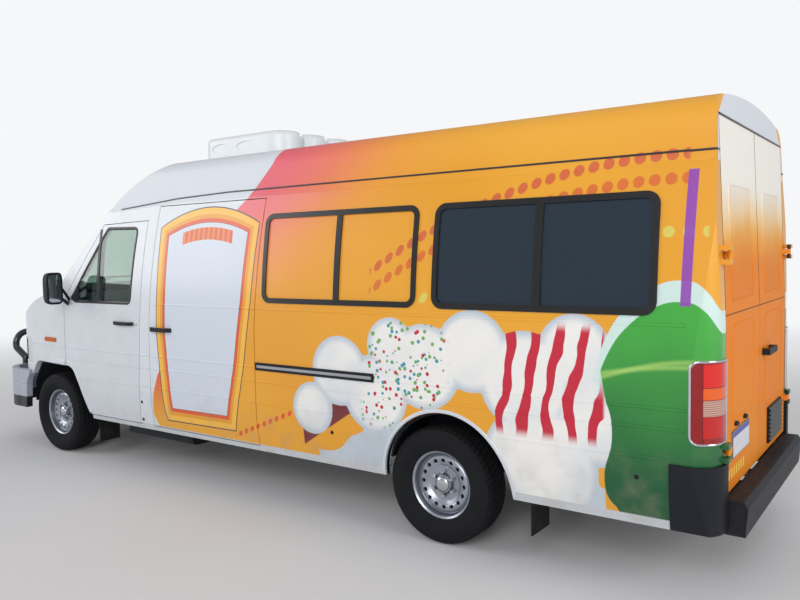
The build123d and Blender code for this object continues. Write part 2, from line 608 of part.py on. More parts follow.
step_outer = Polygon((REAR_FACE_X - SEAT_GAP, STEP_TOP_Z), (STEP_REAR_X + 18, STEP_TOP_Z),
                     (STEP_REAR_X, STEP_TOP_Z - 30), (STEP_REAR_X + 12, STEP_LOW_Z),
                     (REAR_FACE_X - SEAT_GAP, STEP_LOW_Z), align=None)
step_inner = Polygon((REAR_FACE_X + 10, STEP_TOP_Z - 14), (STEP_REAR_X + 28, STEP_TOP_Z - 14),
                     (STEP_REAR_X + 14, STEP_TOP_Z - 36), (STEP_REAR_X + 26, STEP_LOW_Z - 10),
                     (REAR_FACE_X + 10, STEP_LOW_Z - 10), align=None)
step = across(step_outer - step_inner, 2 - REAR_DOOR_HALF, REAR_DOOR_HALF - 2)
step = step + pair(across(step_outer, RAIL_Y - 20, RAIL_Y + 20))
save("rear_step_bumper", step)

# Cooler: smooth sides with two pressed ovals each, and three fan domes bulging at its rear end
dome_x = CAP_FLAT_X - 710 + DOME_RADIUS
cooler = block(dome_x, CAP_FLAT_X + 180, -COOLER_HALF, COOLER_HALF, CROWN_EDGE_Z - 40, CROWN_Z + 158)
cooler = fillet(cooler.edges().filter_by(Axis.Z).sort_by(Axis.X)[-2:], 110)
for y in (DOME_RADIUS - COOLER_HALF, 0, COOLER_HALF - DOME_RADIUS):
    cooler = cooler + z_drum(dome_x, y, DOME_RADIUS, CROWN_EDGE_Z - 40, CROWN_Z + 158)
cooler = fillet(cooler.faces().sort_by(Axis.Z)[-1].edges(), 40) - seat_form
for x in (CAP_FLAT_X - 320, CAP_FLAT_X - 40):
    oval = Pos(x, CROWN_Z + 66) * Ellipse(105, 36)
    cooler = cooler - pair(across(oval, COOLER_HALF - 9, FAR))
save("roof_air_conditioner", cooler)

# Floor, frame and running gear

floor = cabin_space & block(REAR_FACE_X, BULKHEAD_X - 2, -FAR, FAR, FLOOR_Z, FLOOR_Z + FLOOR_THICK)
door_room = block(DOOR_FRONT_X - 1124, DOOR_FRONT_X + 16, BODY_HALF - WALL - 21, FAR, BELOW, FAR)
floor = floor - front_well - rear_well - pair(door_room)
floor = floor - block(BEHIND_X, REAR_FACE_X + WALL + SHUT_GAP, -aperture_half, aperture_half, BELOW, FAR)
save("floor_pan", floor)
front_liner = across(front_arch(-LINER_GAP) - front_arch(-LINER_GAP - LINER_THICK), LINER_FRONT_Y, FAR)
front_liner = front_liner & block(WHEELBASE - 1025, AHEAD_X, 0, FAR, SILL_Z + 40, FAR)
rear_liner = across(rear_arch(-LINER_GAP) - rear_arch(-LINER_GAP - LINER_THICK), LINER_REAR_Y, FAR)
rear_liner = rear_liner + across(rear_arch(-LINER_GAP), LINER_REAR_Y, LINER_REAR_Y + 8)
rear_liner = rear_liner & block(-1000, 1000, 0, FAR, 470, FAR) & cabin_space
tower = z_drum(WHEELBASE, KINGPIN_Y - 52, TOWER_RADIUS, 2 * TYRE_RADIUS + 6, TOWER_TOP_Z)
tower_room = z_drum(WHEELBASE, KINGPIN_Y - 52, TOWER_RADIUS - 8, BELOW, TOWER_TOP_Z - 8)
tower = tower - across(front_arch(-LINER_GAP - 1), 0, FAR)
front_liner = ((front_liner & cabin_space) + tower) - tower_room
save("wheel_houses", pair(front_liner) + pair(rear_liner))

frame_reach = upright(bumper_plan(-BUMPER_WALL - SEAT_GAP), BELOW, FAR)
rail_top = FLOOR_Z - SEAT_GAP
rail_low_y = RAIL_Y - RAIL_HALF_WIDTH
rail_high_y = RAIL_Y + RAIL_HALF_WIDTH
chassis = pair(block(REAR_FACE_X, WHEELBASE + 275, rail_low_y, rail_high_y, RAIL_LOW_Z, rail_top))
horn = block(WHEELBASE + 225, AHEAD_X, rail_low_y, rail_high_y, RAIL_LOW_Z, rail_top) & frame_reach
chassis = chassis + pair(horn)
for x in (REAR_FACE_X + 70, -760, 700, 1700, WHEELBASE - 1125, WHEELBASE + 735):
    chassis = chassis + block(x, x + 60, -RAIL_Y, RAIL_Y, RAIL_LOW_Z + 20, rail_top - 10)
for x in (-1200, 900, TANK_X - 80, WHEELBASE - 825):
    chassis = chassis + pair(block(x, x + 50, RAIL_Y, BODY_HALF - WALL - 61, FLOOR_Z - 60, rail_top))
save("chassis_frame", chassis)

axle = y_drum(0, TYRE_RADIUS, AXLE_TUBE, 125 - TRACK / 2, TRACK / 2 - 125)
axle = axle + Pos(0, DIFF_Y, TYRE_RADIUS) * Sphere(DIFF_RADIUS)
axle = axle + pair(y_drum(0, TYRE_RADIUS, 115, TRACK / 2 - 155, TRACK / 2 - 115))
axle = axle + pair(y_drum(0, TYRE_RADIUS, SPINDLE_RADIUS, TRACK / 2 - 125, TRACK / 2 + 35))
save("rear_axle", axle)

# Leaf springs: an eye at each end, three leaves bowed down over the axle pads, shackles up to the rails
spring_low_z = TYRE_RADIUS + AXLE_TUBE + SEAT_GAP + 14
springs = []
for index in range(3):
    half = SPRING_HALF - 170 * index
    top_z = SPRING_EYE_Z - 26 * index
    mid_z = spring_low_z + LEAF_THICK * (2 - index)
    bow = ThreePointArc((-half, top_z), (0, mid_z), (half, top_z))
    low_bow = ThreePointArc((-half, top_z - LEAF_THICK), (0, mid_z - LEAF_THICK), (half, top_z - LEAF_THICK))
    ends = [Line((x, top_z), (x, top_z - LEAF_THICK)) for x in (-half, half)]
    leaf = across(make_face([bow, low_bow] + ends), SPRING_Y - 35, SPRING_Y + 35)
    springs = leaf if index == 0 else springs + leaf
springs = springs + block(-60, 60, SPRING_Y - 40, SPRING_Y + 40, spring_low_z - 14, spring_low_z + 44)
for x in (-SPRING_HALF, SPRING_HALF):
    springs = springs + y_drum(x, SPRING_EYE_Z, 24, SPRING_Y - 35, SPRING_Y + 35)
    hanger = block(x - 22, x + 22, rail_high_y + SEAT_GAP, SPRING_Y - 30, SPRING_EYE_Z - 30, rail_top - 4)
    springs = springs + hanger
save("leaf_springs", pair(springs))

centre = (1600, 40, RAIL_LOW_Z - 50)
shaft = rod((DIFF_RADIUS + SEAT_GAP, DIFF_Y, TYRE_RADIUS + 5), centre, 32)
shaft = shaft + rod(centre, (PROP_END_X, 0, RAIL_LOW_Z - 22), 32) + Pos(*centre) * Sphere(50)
shaft = shaft + block(1700, 1760, -20, 90, centre[2], RAIL_LOW_Z + 20 - SEAT_GAP)
gearbox = block(PROP_END_X, WHEELBASE - 65 - SEAT_GAP, -130, 130, RAIL_LOW_Z - 102, RAIL_LOW_Z - 10)
save("propshaft_and_gearbox", shaft + gearbox)
save("engine", block(WHEELBASE - 65, WHEELBASE + 535, -250, 250, CROSS_TOP_Z + SEAT_GAP, 1060))

# Front suspension: cross member, lower arms and struts on the frame; the knuckles turn on them

axle_x, hub_z = WHEELBASE, TYRE_RADIUS
strut_y = KINGPIN_Y - 52
cross = block(axle_x - 50, axle_x + 50, -rail_high_y, rail_high_y, hub_z - 92, CROSS_TOP_Z)
post = block(axle_x - 40, axle_x + 40, rail_low_y, rail_high_y, CROSS_TOP_Z - 10, RAIL_LOW_Z - SEAT_GAP)
cross = cross + pair(post)
arm = Polygon((axle_x - 125, RAIL_Y - 50), (axle_x - 35, KINGPIN_Y), (axle_x + 35, KINGPIN_Y),
              (axle_x + 125, RAIL_Y - 50), align=None)
arm = upright(arm, ARM_Z, ARM_Z + 30) + z_drum(axle_x, KINGPIN_Y, 46, ARM_Z, ARM_Z + 30)
arm = arm + block(axle_x - 65, axle_x + 65, RAIL_Y - 50, RAIL_Y + 30, ARM_Z, ARM_Z + 75)
strut = rod((axle_x, KINGPIN_Y - 14, hub_z + 161), (axle_x, strut_y, TOWER_TOP_Z - 20), 27)
strut = strut + z_drum(axle_x, KINGPIN_Y, 34, hub_z + 131, hub_z + 173)
strut = strut + rod((axle_x, KINGPIN_Y - 21, hub_z + 293), (axle_x, strut_y + 2, TOWER_TOP_Z - 40), 55)
strut = strut + z_drum(axle_x, strut_y, TOWER_RADIUS - 10, TOWER_TOP_Z - 28, TOWER_TOP_Z - 8 - SEAT_GAP)
bearing = z_drum(axle_x, KINGPIN_Y, KINGPIN_RADIUS + RUNNING_GAP, ARM_Z - 10, hub_z + 159)
save("front_suspension", cross + pair((arm + strut) - bearing))

knuckle = z_drum(axle_x, KINGPIN_Y, KINGPIN_RADIUS, ARM_Z - 8, hub_z + 155)
knuckle = knuckle + z_drum(axle_x, KINGPIN_Y, 40, ARM_Z + 36, hub_z + 125)
knuckle = knuckle + block(axle_x - 38, axle_x + 38, KINGPIN_Y, TRACK / 2 - 103, hub_z - 57, hub_z + 57)
knuckle = knuckle + y_drum(axle_x, hub_z, SPINDLE_RADIUS, TRACK / 2 - 115, TRACK / 2 + 35)
knuckle = knuckle + y_drum(axle_x, hub_z, 140, TRACK / 2 - 103, TRACK / 2 - 79)
knuckle = knuckle + block(axle_x - 170, axle_x, KINGPIN_Y - 14, KINGPIN_Y + 14, hub_z - 83, hub_z - 61)
save("left_steering_knuckle", knuckle)
save("right_steering_knuckle", opposite(knuckle))

# Exhaust, fuel tank, flaps

axle_clear_z = TYRE_RADIUS + AXLE_TUBE + 36
pipe_path = FilletPolyline((WHEELBASE - 325, PIPE_Y, PIPE_Z), (420, PIPE_Y, PIPE_Z),
                           (180, PIPE_Y, axle_clear_z), (-180, PIPE_Y, axle_clear_z),
                           (-420, PIPE_Y, PIPE_Z), (REAR_FACE_X + 60, PIPE_Y, PIPE_Z), radius=80)
pipe = sweep(Plane(origin=pipe_path @ 0, z_dir=pipe_path % 0) * Circle(26), pipe_path)
silencer = fillet(block(1800, 2500, PIPE_Y - 85, PIPE_Y + 95, 285, 410).edges().filter_by(Axis.X), 50)
for x in (700, 1700, WHEELBASE - 1125):
    pipe = pipe + block(x + 20, x + 40, PIPE_Y - 6, PIPE_Y + 6, PIPE_Z, RAIL_LOW_Z + 20 - SEAT_GAP)
save("exhaust", pipe + silencer)
tank = block(TANK_X, TANK_X + 800, rail_high_y + SEAT_GAP, BODY_HALF - WALL - 71, 262,
             FLOOR_Z - 60 - SEAT_GAP)
tank = fillet(tank.edges().filter_by(Axis.X).sort_by(Axis.Z)[:2], 40)
save("fuel_tank", tank)
flap_y = TRACK / 2 - 105
rear_flap = block(-606, -598, flap_y, BODY_HALF - 38, 175, SILL_Z - 5)
rear_flap = rear_flap + block(-606, -598, flap_y, SILL_HALF - 70 - SEAT_GAP, 300, rail_top)
front_flap = Pos(WHEELBASE + 5, 0, -20) * block(-606, -598, flap_y, BODY_HALF - 66, 175, SILL_Z)
front_flap = front_flap + Pos(WHEELBASE + 5) * block(-606, -598, flap_y, BODY_HALF - WALL - 81, 300, rail_top)
save("mud_flaps", pair(rear_flap) + pair(front_flap))

# Wheels and tyres, drawn at the origin with the outer side towards +y

wheel_half = RIM_WIDTH / 2
flange = RIM_FLANGE_RADIUS
rim_outline = [(RIM_RADIUS - 5, wheel_half - 4), (flange, wheel_half), (flange, wheel_half - 7),
               (RIM_RADIUS, wheel_half - 12), (RIM_RADIUS, 40), (RIM_RADIUS - 16, 24), (RIM_RADIUS - 16, -24),
               (RIM_RADIUS, -42), (RIM_RADIUS, 12 - wheel_half), (flange, 7 - wheel_half),
               (flange, -wheel_half),
               (RIM_RADIUS - 5, 4 - wheel_half), (RIM_RADIUS - 5, -44), (RIM_RADIUS - 21, -28),
               (RIM_RADIUS - 21, 26), (RIM_RADIUS - 10, 42), (RIM_RADIUS - 10, wheel_half - 14)]
disc_outline = [(HUB_BORE, 8), (HUB_BORE, 52), (52, 52), (58, 40), (84, 36), (104, 44), (140, 48),
                (RIM_RADIUS - 12, 38), (RIM_RADIUS - 12, 30), (138, 40), (106, 36), (84, 28), (60, 28),
                (58, 8)]


def turned(outline):
    """Revolve an outline given as (radius, offset along the wheel's axis) about the y axis."""
    face = make_face(Polyline(*outline, close=True))
    return revolve(Plane.XY * face, Axis.Y, 360)


wheel = turned(rim_outline) + turned(disc_outline)
for index in range(VENT_COUNT):
    angle = index * 360 / VENT_COUNT
    wheel = wheel - Rot(0, angle, 0) * y_drum(124, 0, 9.5, 20, 70)
for index in range(STUD_COUNT):
    angle = (index + 0.5) * 360 / STUD_COUNT
    wheel = wheel + Rot(0, angle, 0) * y_drum(72, 0, 9, 30, 50)

tyre_half = TYRE_WIDTH / 2
bead = RIM_RADIUS + 4
side_radius = (TYRE_RADIUS + bead) / 2
tyre_edges = [Line((bead, wheel_half - 13), (bead, 13 - wheel_half)),
              Line((TYRE_RADIUS, 36 - tyre_half), (TYRE_RADIUS, tyre_half - 36))]
for side in (1, -1):
    shoulder = (TYRE_RADIUS - 14, side * (tyre_half - 14))
    lip = (bead + 10, side * (wheel_half + 2))
    crown = (TYRE_RADIUS, side * (tyre_half - 36))
    tyre_edges.append(Line((bead, side * (wheel_half - 13)), lip))
    tyre_edges.append(ThreePointArc(lip, (side_radius, side * tyre_half), shoulder))
    tyre_edges.append(ThreePointArc(shoulder, (TYRE_RADIUS - 5, side * (tyre_half - 24)), crown))
tyre_profile = make_face(tyre_edges)
tyre = revolve(tyre_profile, Axis.Y, 360) - turned(rim_outline)
for end, x in (("front", WHEELBASE), ("rear", 0.0)):
    for side, place in (("left", lambda s: s), ("right", opposite)):
        station = Pos(x, TRACK / 2, TYRE_RADIUS)
        save(f"{end}_{side}_wheel", place(station * wheel))
        save(f"{end}_{side}_tyre", place(station * tyre))

# Cab and serving fittings that show through the glass

cabin_floor = FLOOR_Z + FLOOR_THICK + SEAT_GAP
dash_back = BULKHEAD_X - SEAT_GAP
dash = Polygon((dash_back, 1010), (dash_back, 1330), (dash_back - 290, 1310), (dash_back - 370, 1240),
               (dash_back - 350, 1120), (dash_back - 230, 1010), align=None)
dash = across(dash, 126 - BODY_HALF, BODY_HALF - 126) & cabin_space
save("dashboard", dash)
column = rod((BULKHEAD_X - 450, DRIVER_Y, 1215), (BULKHEAD_X - 290, DRIVER_Y, 1115), 24)
helm = Torus(195, 13) + Box(380, 34, 12) + Cylinder(40, 30)
helm = Pos(BULKHEAD_X - 450, DRIVER_Y, 1215) * Rot(0, -58, 0) * helm
save("steering_wheel", helm + (column - Pos(-SEAT_GAP, 0, SEAT_GAP) * dash - dash))
seats = []
for y in (DRIVER_Y, -DRIVER_Y):
    base = block(SEAT_X + 60, SEAT_X + 400, y - 190, y + 190, cabin_floor, 800)
    cushion = block(SEAT_X, SEAT_X + 500, y - 235, y + 235, 800 + SEAT_GAP, 930)
    cushion = fillet(cushion.faces().sort_by(Axis.Z)[-1].edges(), 18)
    back = Polygon((SEAT_X + 22, 930 + SEAT_GAP), (SEAT_X + 120, 930 + SEAT_GAP), (SEAT_X + 5, 1540),
                   (SEAT_X - 75, 1540), align=None)
    back = across(back, y - 215, y + 215)
    back = fillet(back.faces().sort_by(Axis.Z)[-1].edges(), 25)
    head = fillet(block(SEAT_X - 85, SEAT_X - 5, y - 120, y + 120, 1560, 1740).edges(), 28)
    for post_y in (y - 50, y + 50):
        head = head + z_drum(SEAT_X - 40, post_y, 7, 1540 + SEAT_GAP, 1600)
    seats += [base, cushion, back, head]
save("cab_seats", Compound(seats))
counter = block(-1300, 40, BODY_HALF - 406, BODY_HALF - 106, cabin_floor, 1290)
counter = counter + block(-1330, 70, BODY_HALF - 466, BODY_HALF - 96, 1290, 1325)
save("serving_counter", counter - rear_well)
machine = block(-1150, -550, 106 - BODY_HALF, 606 - BODY_HALF, cabin_floor, 1420)
machine = fillet(machine.edges().filter_by(Axis.Z), 40)
save("soft_serve_machine", machine - rear_well)
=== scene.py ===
import json
import logging
import math
from dataclasses import dataclass
from enum import Enum
from typing import Callable, Sequence, Union

import bpy
import numpy as np
from mathutils import Matrix

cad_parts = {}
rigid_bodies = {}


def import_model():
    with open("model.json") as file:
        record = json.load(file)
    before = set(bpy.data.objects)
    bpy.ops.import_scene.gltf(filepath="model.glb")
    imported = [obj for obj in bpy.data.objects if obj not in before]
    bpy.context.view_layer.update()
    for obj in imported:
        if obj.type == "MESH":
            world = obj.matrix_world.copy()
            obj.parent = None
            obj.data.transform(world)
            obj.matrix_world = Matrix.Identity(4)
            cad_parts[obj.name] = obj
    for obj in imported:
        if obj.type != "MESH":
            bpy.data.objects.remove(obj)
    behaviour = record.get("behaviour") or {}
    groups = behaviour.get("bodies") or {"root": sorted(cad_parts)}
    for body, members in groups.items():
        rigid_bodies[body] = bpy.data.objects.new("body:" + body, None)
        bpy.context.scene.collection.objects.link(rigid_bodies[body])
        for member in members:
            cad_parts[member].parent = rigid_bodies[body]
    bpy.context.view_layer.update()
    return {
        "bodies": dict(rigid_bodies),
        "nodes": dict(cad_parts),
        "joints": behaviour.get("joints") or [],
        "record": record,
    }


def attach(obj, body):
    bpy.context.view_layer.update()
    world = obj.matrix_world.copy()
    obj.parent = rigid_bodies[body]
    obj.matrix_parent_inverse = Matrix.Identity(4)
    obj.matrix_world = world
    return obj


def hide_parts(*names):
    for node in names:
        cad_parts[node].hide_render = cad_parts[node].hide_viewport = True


log = logging.getLogger("ice_cream_truck")

Socket = bpy.types.NodeSocket
Node = bpy.types.Node
Object = bpy.types.Object
Material = bpy.types.Material
Colour = tuple[float, float, float]
Shape = tuple[np.ndarray, np.ndarray]
Table = tuple[tuple[float, ...], ...]
Value = Union[float, "Term"]
Tone = Union[Colour, "Term"]

# All lengths are in metres. Stations in formulas and tables run from the rear axle, at AXLE_X in the scene.
AXLE_X = -1.713
WHEELBASE = 4.025
REAR_FACE_X = AXLE_X - 1.550
TRACK_HALF = 0.815
TYRE_RADIUS = 0.347
FLANK_Y = 0.966
SEAM_Z = 2.118
CORNER_X, CORNER_Y, CORNER_R = -1.420, 0.838, 0.130
LEAN_Z, REAR_LEAN = 1.352, 0.042
TAU = 2 * math.pi


def srgb(red: float, green: float, blue: float) -> Colour:
    """Linear colour of a display colour given in 0 to 255."""
    shares = np.array([red, green, blue]) / 255
    linear = np.where(shares <= 0.04045, shares / 12.92, ((shares + 0.055) / 1.055) ** 2.4)
    return tuple(float(part) for part in linear)


# Black painted shade for the faces of the shut gaps and the rear jamb.
GAP_SHADE = srgb(16, 17, 20)
LINING = srgb(196, 199, 204)
BACKDROP = (0.97, 0.98, 1.0)


# Surfaces of the body, as functions of position

def arc(height: float, radius: float, away: np.ndarray) -> np.ndarray:
    """A circular arc that starts level at a height: h - r + sqrt(r^2 - d^2)."""
    return height - radius + np.sqrt(radius ** 2 - away ** 2)


def flank_half(z: np.ndarray) -> np.ndarray:
    """Half width of the body: arcs below the sill line and above the belt, then a straight lean up the roof cap.

    Args:
        z: Heights.

    Returns:
        Half widths.
    """
    z = np.asarray(z, float)
    sill = arc(FLANK_Y, 1.558, np.clip(0.700 - z, 0, 1))
    side = arc(FLANK_Y, 4.7656, np.clip(z - 1.100, 0, 2))
    cap = 0.856 - 0.028 * (z - SEAM_Z) / 0.212
    return np.where(z < 0.7, sill, np.where(z < SEAM_Z, side, cap))


LEVELS = np.array([0.30, 0.36, 0.43, 0.50, 0.60, 0.70, 1.10, 1.25, 1.40, 1.55, 1.70, 1.85, 2.00, 2.06, SEAM_Z,
                   2.33, 2.44, 2.60])
HALF_TABLE = np.stack([LEVELS, np.where(LEVELS > 2.34, 0.70, flank_half(LEVELS))], -1)


def plan_half(x: np.ndarray) -> np.ndarray:
    """Half width that the plan outline allows at a station: an arc at the front, a round corner at the rear."""
    x = np.asarray(x, float)
    front = arc(0.968, 5.6315, np.clip(x - 3.700, 0, 2))
    corner = CORNER_Y + np.sqrt(np.clip(CORNER_R ** 2 - np.clip(CORNER_X - x, 0, CORNER_R) ** 2, 0, 1))
    return np.minimum(front, corner)


def rear_lean(z: np.ndarray) -> np.ndarray:
    """How far the rear face has leaned forward at a height."""
    return REAR_LEAN * np.clip(z - LEAN_Z, 0, None)


def on_flank(x: np.ndarray, z: np.ndarray, proud: float | np.ndarray = 0.0) -> np.ndarray:
    """Points on the left flank.

    Args:
        x: Stations.
        z: Heights.
        proud: Distance that the points stand out.

    Returns:
        Array (..., 3) in the scene.
    """
    x, z = np.broadcast_arrays(np.asarray(x, float), np.asarray(z, float))
    return np.stack([x + AXLE_X, np.minimum(flank_half(z), plan_half(x)) + proud, z], -1)


def corner_point(s: np.ndarray, z: np.ndarray, proud: float) -> Shape:
    """Points and normals round the left rear corner.

    With s the distance along the plan from the start of the corner's arc and a = s / r on the arc, x falls by
    r sin a and y by r (1 - cos a); ahead of the arc the flank is straight, behind it lies the rear face.

    Args:
        s: Distances along the plan.
        z: Heights.
        proud: Distance that the points stand out.

    Returns:
        Points (n, 3) in the scene and unit normals.
    """
    a = np.clip(s / CORNER_R, 0, math.pi / 2)
    past = np.clip(s - CORNER_R * math.pi / 2, 0, None)
    normal = np.stack([-np.sin(a), np.cos(a), 0 * a], -1)
    x = CORNER_X - CORNER_R * np.sin(a) - np.minimum(s, 0) + rear_lean(z) * np.sin(a)
    y = np.minimum(CORNER_Y + CORNER_R * np.cos(a), flank_half(z)) - past
    return np.stack([x + AXLE_X, y, z], -1) + proud * normal, normal


def screen_point(y: np.ndarray, z: np.ndarray, proud: float) -> Shape:
    """Points and normals on the windscreen.

    The centre line runs straight from (3.455, 2.084) to (4.090, 1.455); turned about an upright axis at
    x = 1.725 it gives x = 1.725 + sqrt(r(z)^2 - y^2).

    Args:
        y: Sideways distances.
        z: Heights.
        proud: Distance that the points stand out.

    Returns:
        Points (n, 3) in the scene and unit normals.
    """
    axis, foot_x, foot_z, run, rise = 1.725, 4.090, 1.455, 0.635, 0.629
    radius = foot_x + (foot_z - z) * (run / rise) - axis
    angle = np.arcsin(np.clip(y / radius, -1, 1))
    slope = math.hypot(run, rise)
    normal = np.stack([rise / slope * np.cos(angle), rise / slope * np.sin(angle), run / slope + 0 * z], -1)
    return np.stack([axis + radius * np.cos(angle) + AXLE_X, y, z], -1) + proud * normal, normal


def lamp_front(y: np.ndarray, z: np.ndarray) -> np.ndarray:
    """Scene x of the headlamp's face at a sideways distance and a height, from two short tables added together."""
    x = np.interp(y, (0.515, 0.645, 0.700, 0.710, 0.800, 0.880, 0.910),
                  (3.1305, 3.1062, 3.058, 3.0459, 2.9449, 2.8545, 2.7903))
    bend = np.interp(z, (0.785, 0.892, 0.940, 0.995), (0.0150, 0.0, -0.0104, -0.0375))
    return x + bend * np.clip((0.700 - y) / 0.055, 0, 1)


# Lines and sections

def even(points: np.ndarray, step: float, closed: bool = False) -> np.ndarray:
    """A polyline sampled again at even distances along itself.

    Args:
        points: Array (n, k).
        step: Wanted distance between points.
        closed: Whether the line returns to its start.

    Returns:
        Array (m, k).
    """
    line = np.vstack([points, points[:1]]) if closed else points
    length = np.concatenate([[0], np.cumsum(np.linalg.norm(np.diff(line, axis=0), axis=1))])
    at = np.linspace(0, length[-1], max(8, int(length[-1] / step)) + 1)
    at = at[:-1] if closed else at
    return np.stack([np.interp(at, length, line[:, k]) for k in range(line.shape[1])], -1)


def rounded_loop(corners: Sequence[tuple[float, float]], radii: Sequence[float] | float,
                 step: float = 0.01) -> np.ndarray:
    """Closed loop through corners, each replaced by a tangent arc, with even steps.

    Args:
        corners: Corner points in a plane.
        radii: One radius, or one for each corner.
        step: Distance between points.

    Returns:
        Array (n, 2), without the closing point.
    """
    points = np.array(corners, float)
    radii = np.broadcast_to(np.asarray(radii, float), len(points))
    runs = []
    for here, before, after, radius in zip(points, np.roll(points, 1, 0), np.roll(points, -1, 0), radii):
        a, b = before - here, after - here
        a, b = a / np.linalg.norm(a), b / np.linalg.norm(b)
        half = math.acos(float(np.clip(a @ b, -1, 1))) / 2
        reach = radius / math.tan(half)
        centre = here + (a + b) / np.linalg.norm(a + b) * radius / math.sin(half)
        start, end = here + a * reach - centre, here + b * reach - centre
        sweep = math.pi - 2 * half
        t = np.linspace(0, 1, max(3, int(sweep * radius / step) + 2))[:, None]
        bend = (np.sin((1 - t) * sweep) * start + np.sin(t * sweep) * end) / max(math.sin(sweep), 1e-6)
        runs.append(centre + bend)
    return even(np.concatenate(runs), step, closed=True)


def box_loop(low: tuple[float, float], high: tuple[float, float], radius: float, step: float = 0.01) -> np.ndarray:
    """A rectangle from its low to its high corner with rounded corners."""
    return rounded_loop([low, (high[0], low[1]), high, (low[0], high[1])], radius, step)


def oval(half_u: float, half_v: float, power: float = 1.0, count: int = 16) -> np.ndarray:
    """Closed section (u sgn(cos t)|cos t|^p, v sgn(sin t)|sin t|^p): round for p = 1, boxy for less."""
    t = np.linspace(0, TAU, count, endpoint=False)
    wave = np.stack([np.cos(t), np.sin(t)], -1)
    return np.sign(wave) * np.abs(wave) ** power * (half_u, half_v)


def lip_profile(width: float, height: float, sink: float = 0.002, count: int = 9) -> np.ndarray:
    """A domed strip: an arch u = height * sin(t)^0.6 over a width, with a flat foot sunk below the surface.

    Args:
        width: Distance across.
        height: Rise over the surface.
        sink: Depth of the foot.
        count: Points over the arch.

    Returns:
        Array (count + 2, 2).
    """
    t = np.linspace(0, math.pi, count)
    arch = np.stack([height * np.sin(t) ** 0.6, -width / 2 * np.cos(t)], -1)
    return np.vstack([arch, [[-sink, width / 2], [-sink, -width / 2]]])


# Meshes from arrays

def grid(points: np.ndarray, wrap_rows: bool = False, wrap_columns: bool = False) -> Shape:
    """Quads over an array of points, rows by columns, turned so that they face away from the points' middle.

    Args:
        points: Array (rows, columns, 3).
        wrap_rows: Whether the last row joins the first.
        wrap_columns: Whether the last column joins the first.

    Returns:
        Vertices and faces.
    """
    rows, columns = points.shape[:2]
    index = np.arange(rows * columns).reshape(rows, columns)
    index = np.vstack([index, index[:1]]) if wrap_rows else index
    index = np.hstack([index, index[:, :1]]) if wrap_columns else index
    faces = np.stack([index[:-1, :-1], index[1:, :-1], index[1:, 1:], index[:-1, 1:]], -1).reshape(-1, 4)
    vertices = points.reshape(-1, 3)
    a, b, c, d = (vertices[faces[:, k]] - vertices.mean(0) for k in range(4))
    volume = (a * np.cross(b - a, c - a)).sum() + (a * np.cross(c - a, d - a)).sum()
    return vertices, faces if volume >= 0 else faces[:, ::-1]


def together(*shapes: Shape) -> Shape:
    """Several shapes as one list of vertices and faces."""
    starts = np.cumsum([0] + [len(v) for v, _ in shapes[:-1]])
    return np.concatenate([v for v, _ in shapes]), np.concatenate([f + s for (_, f), s in zip(shapes, starts)])


def moved(shape: Shape, by: Sequence[float], scale: Sequence[float] = (1, 1, 1)) -> Shape:
    """A shape scaled and then shifted; its faces are turned when the scale mirrors it."""
    faces = shape[1] if np.prod(scale) > 0 else shape[1][:, ::-1]
    return shape[0] * scale + np.asarray(by, float), faces


def mirrored(shape: Shape) -> Shape:
    """The shape on the other side of the truck."""
    return moved(shape, (0, 0, 0), (1, -1, 1))


def repeated(shape: Shape, places: Sequence[Sequence[float]] | np.ndarray) -> Shape:
    """A shape copied to each of several places by one broadcast sum.

    Args:
        shape: Vertices and faces.
        places: Array (n, 3) of shifts.

    Returns:
        Vertices and faces of all copies.
    """
    places = np.asarray(places, float)
    vertices, faces = shape
    shifts = np.arange(len(places))[:, None, None] * len(vertices)
    return (places[:, None] + vertices[None]).reshape(-1, 3), (faces[None] + shifts).reshape(-1, faces.shape[1])


def turned(profile: Sequence[tuple[float, float]] | np.ndarray, segments: int, axis: str = "y",
           centre: Sequence[float] = (0, 0, 0)) -> Shape:
    """Surface of revolution: (r cos t, a, r sin t) about an axis through a centre.

    Args:
        profile: Radius and distance along the axis of each ring.
        segments: Steps round the axis.
        axis: Axis letter, "x", "y" or "z".
        centre: Point on the axis.

    Returns:
        Vertices and faces.
    """
    profile = np.asarray(profile, float)
    t = np.linspace(0, TAU, segments, endpoint=False)
    radius, offset = profile[:, :1], profile[:, 1:]
    a, b, c = radius * np.cos(t), radius * np.sin(t), offset + 0 * t
    order = {"x": (c, a, b), "y": (b, c, a), "z": (a, b, c)}[axis]
    return grid(np.stack(order, -1) + np.asarray(centre, float), wrap_columns=True)


def carried(profile: np.ndarray, path: np.ndarray, outward: Sequence[float] | np.ndarray,
            closed: bool = False) -> Shape:
    """A closed profile carried along a path: P(i, j) = path_i + u_j * outward_i + v_j * (tangent_i x outward_i).

    Args:
        profile: Array (m, 2) of outward and sideways distances.
        path: Array (n, 3).
        outward: Array (n, 3) or (3,) of directions away from the surface.
        closed: Whether the path returns to its start.

    Returns:
        Vertices and faces; open ends are closed to a point.
    """
    ahead = np.roll(path, -1, 0) - np.roll(path, 1, 0) if closed else np.gradient(path, axis=0)
    ahead /= np.linalg.norm(ahead, axis=1)[:, None]
    outward = np.broadcast_to(np.asarray(outward, float), path.shape)
    outward = outward - (outward * ahead).sum(1)[:, None] * ahead
    outward = outward / np.linalg.norm(outward, axis=1)[:, None]
    sideways = np.cross(ahead, outward)
    points = path[:, None] + profile[None, :, :1] * outward[:, None] + profile[None, :, 1:] * sideways[:, None]
    if not closed:
        middle = points.mean(1, keepdims=True) + 0 * points
        points = np.concatenate([middle[:1], points, middle[-1:]])
    return grid(points, wrap_rows=closed, wrap_columns=True)


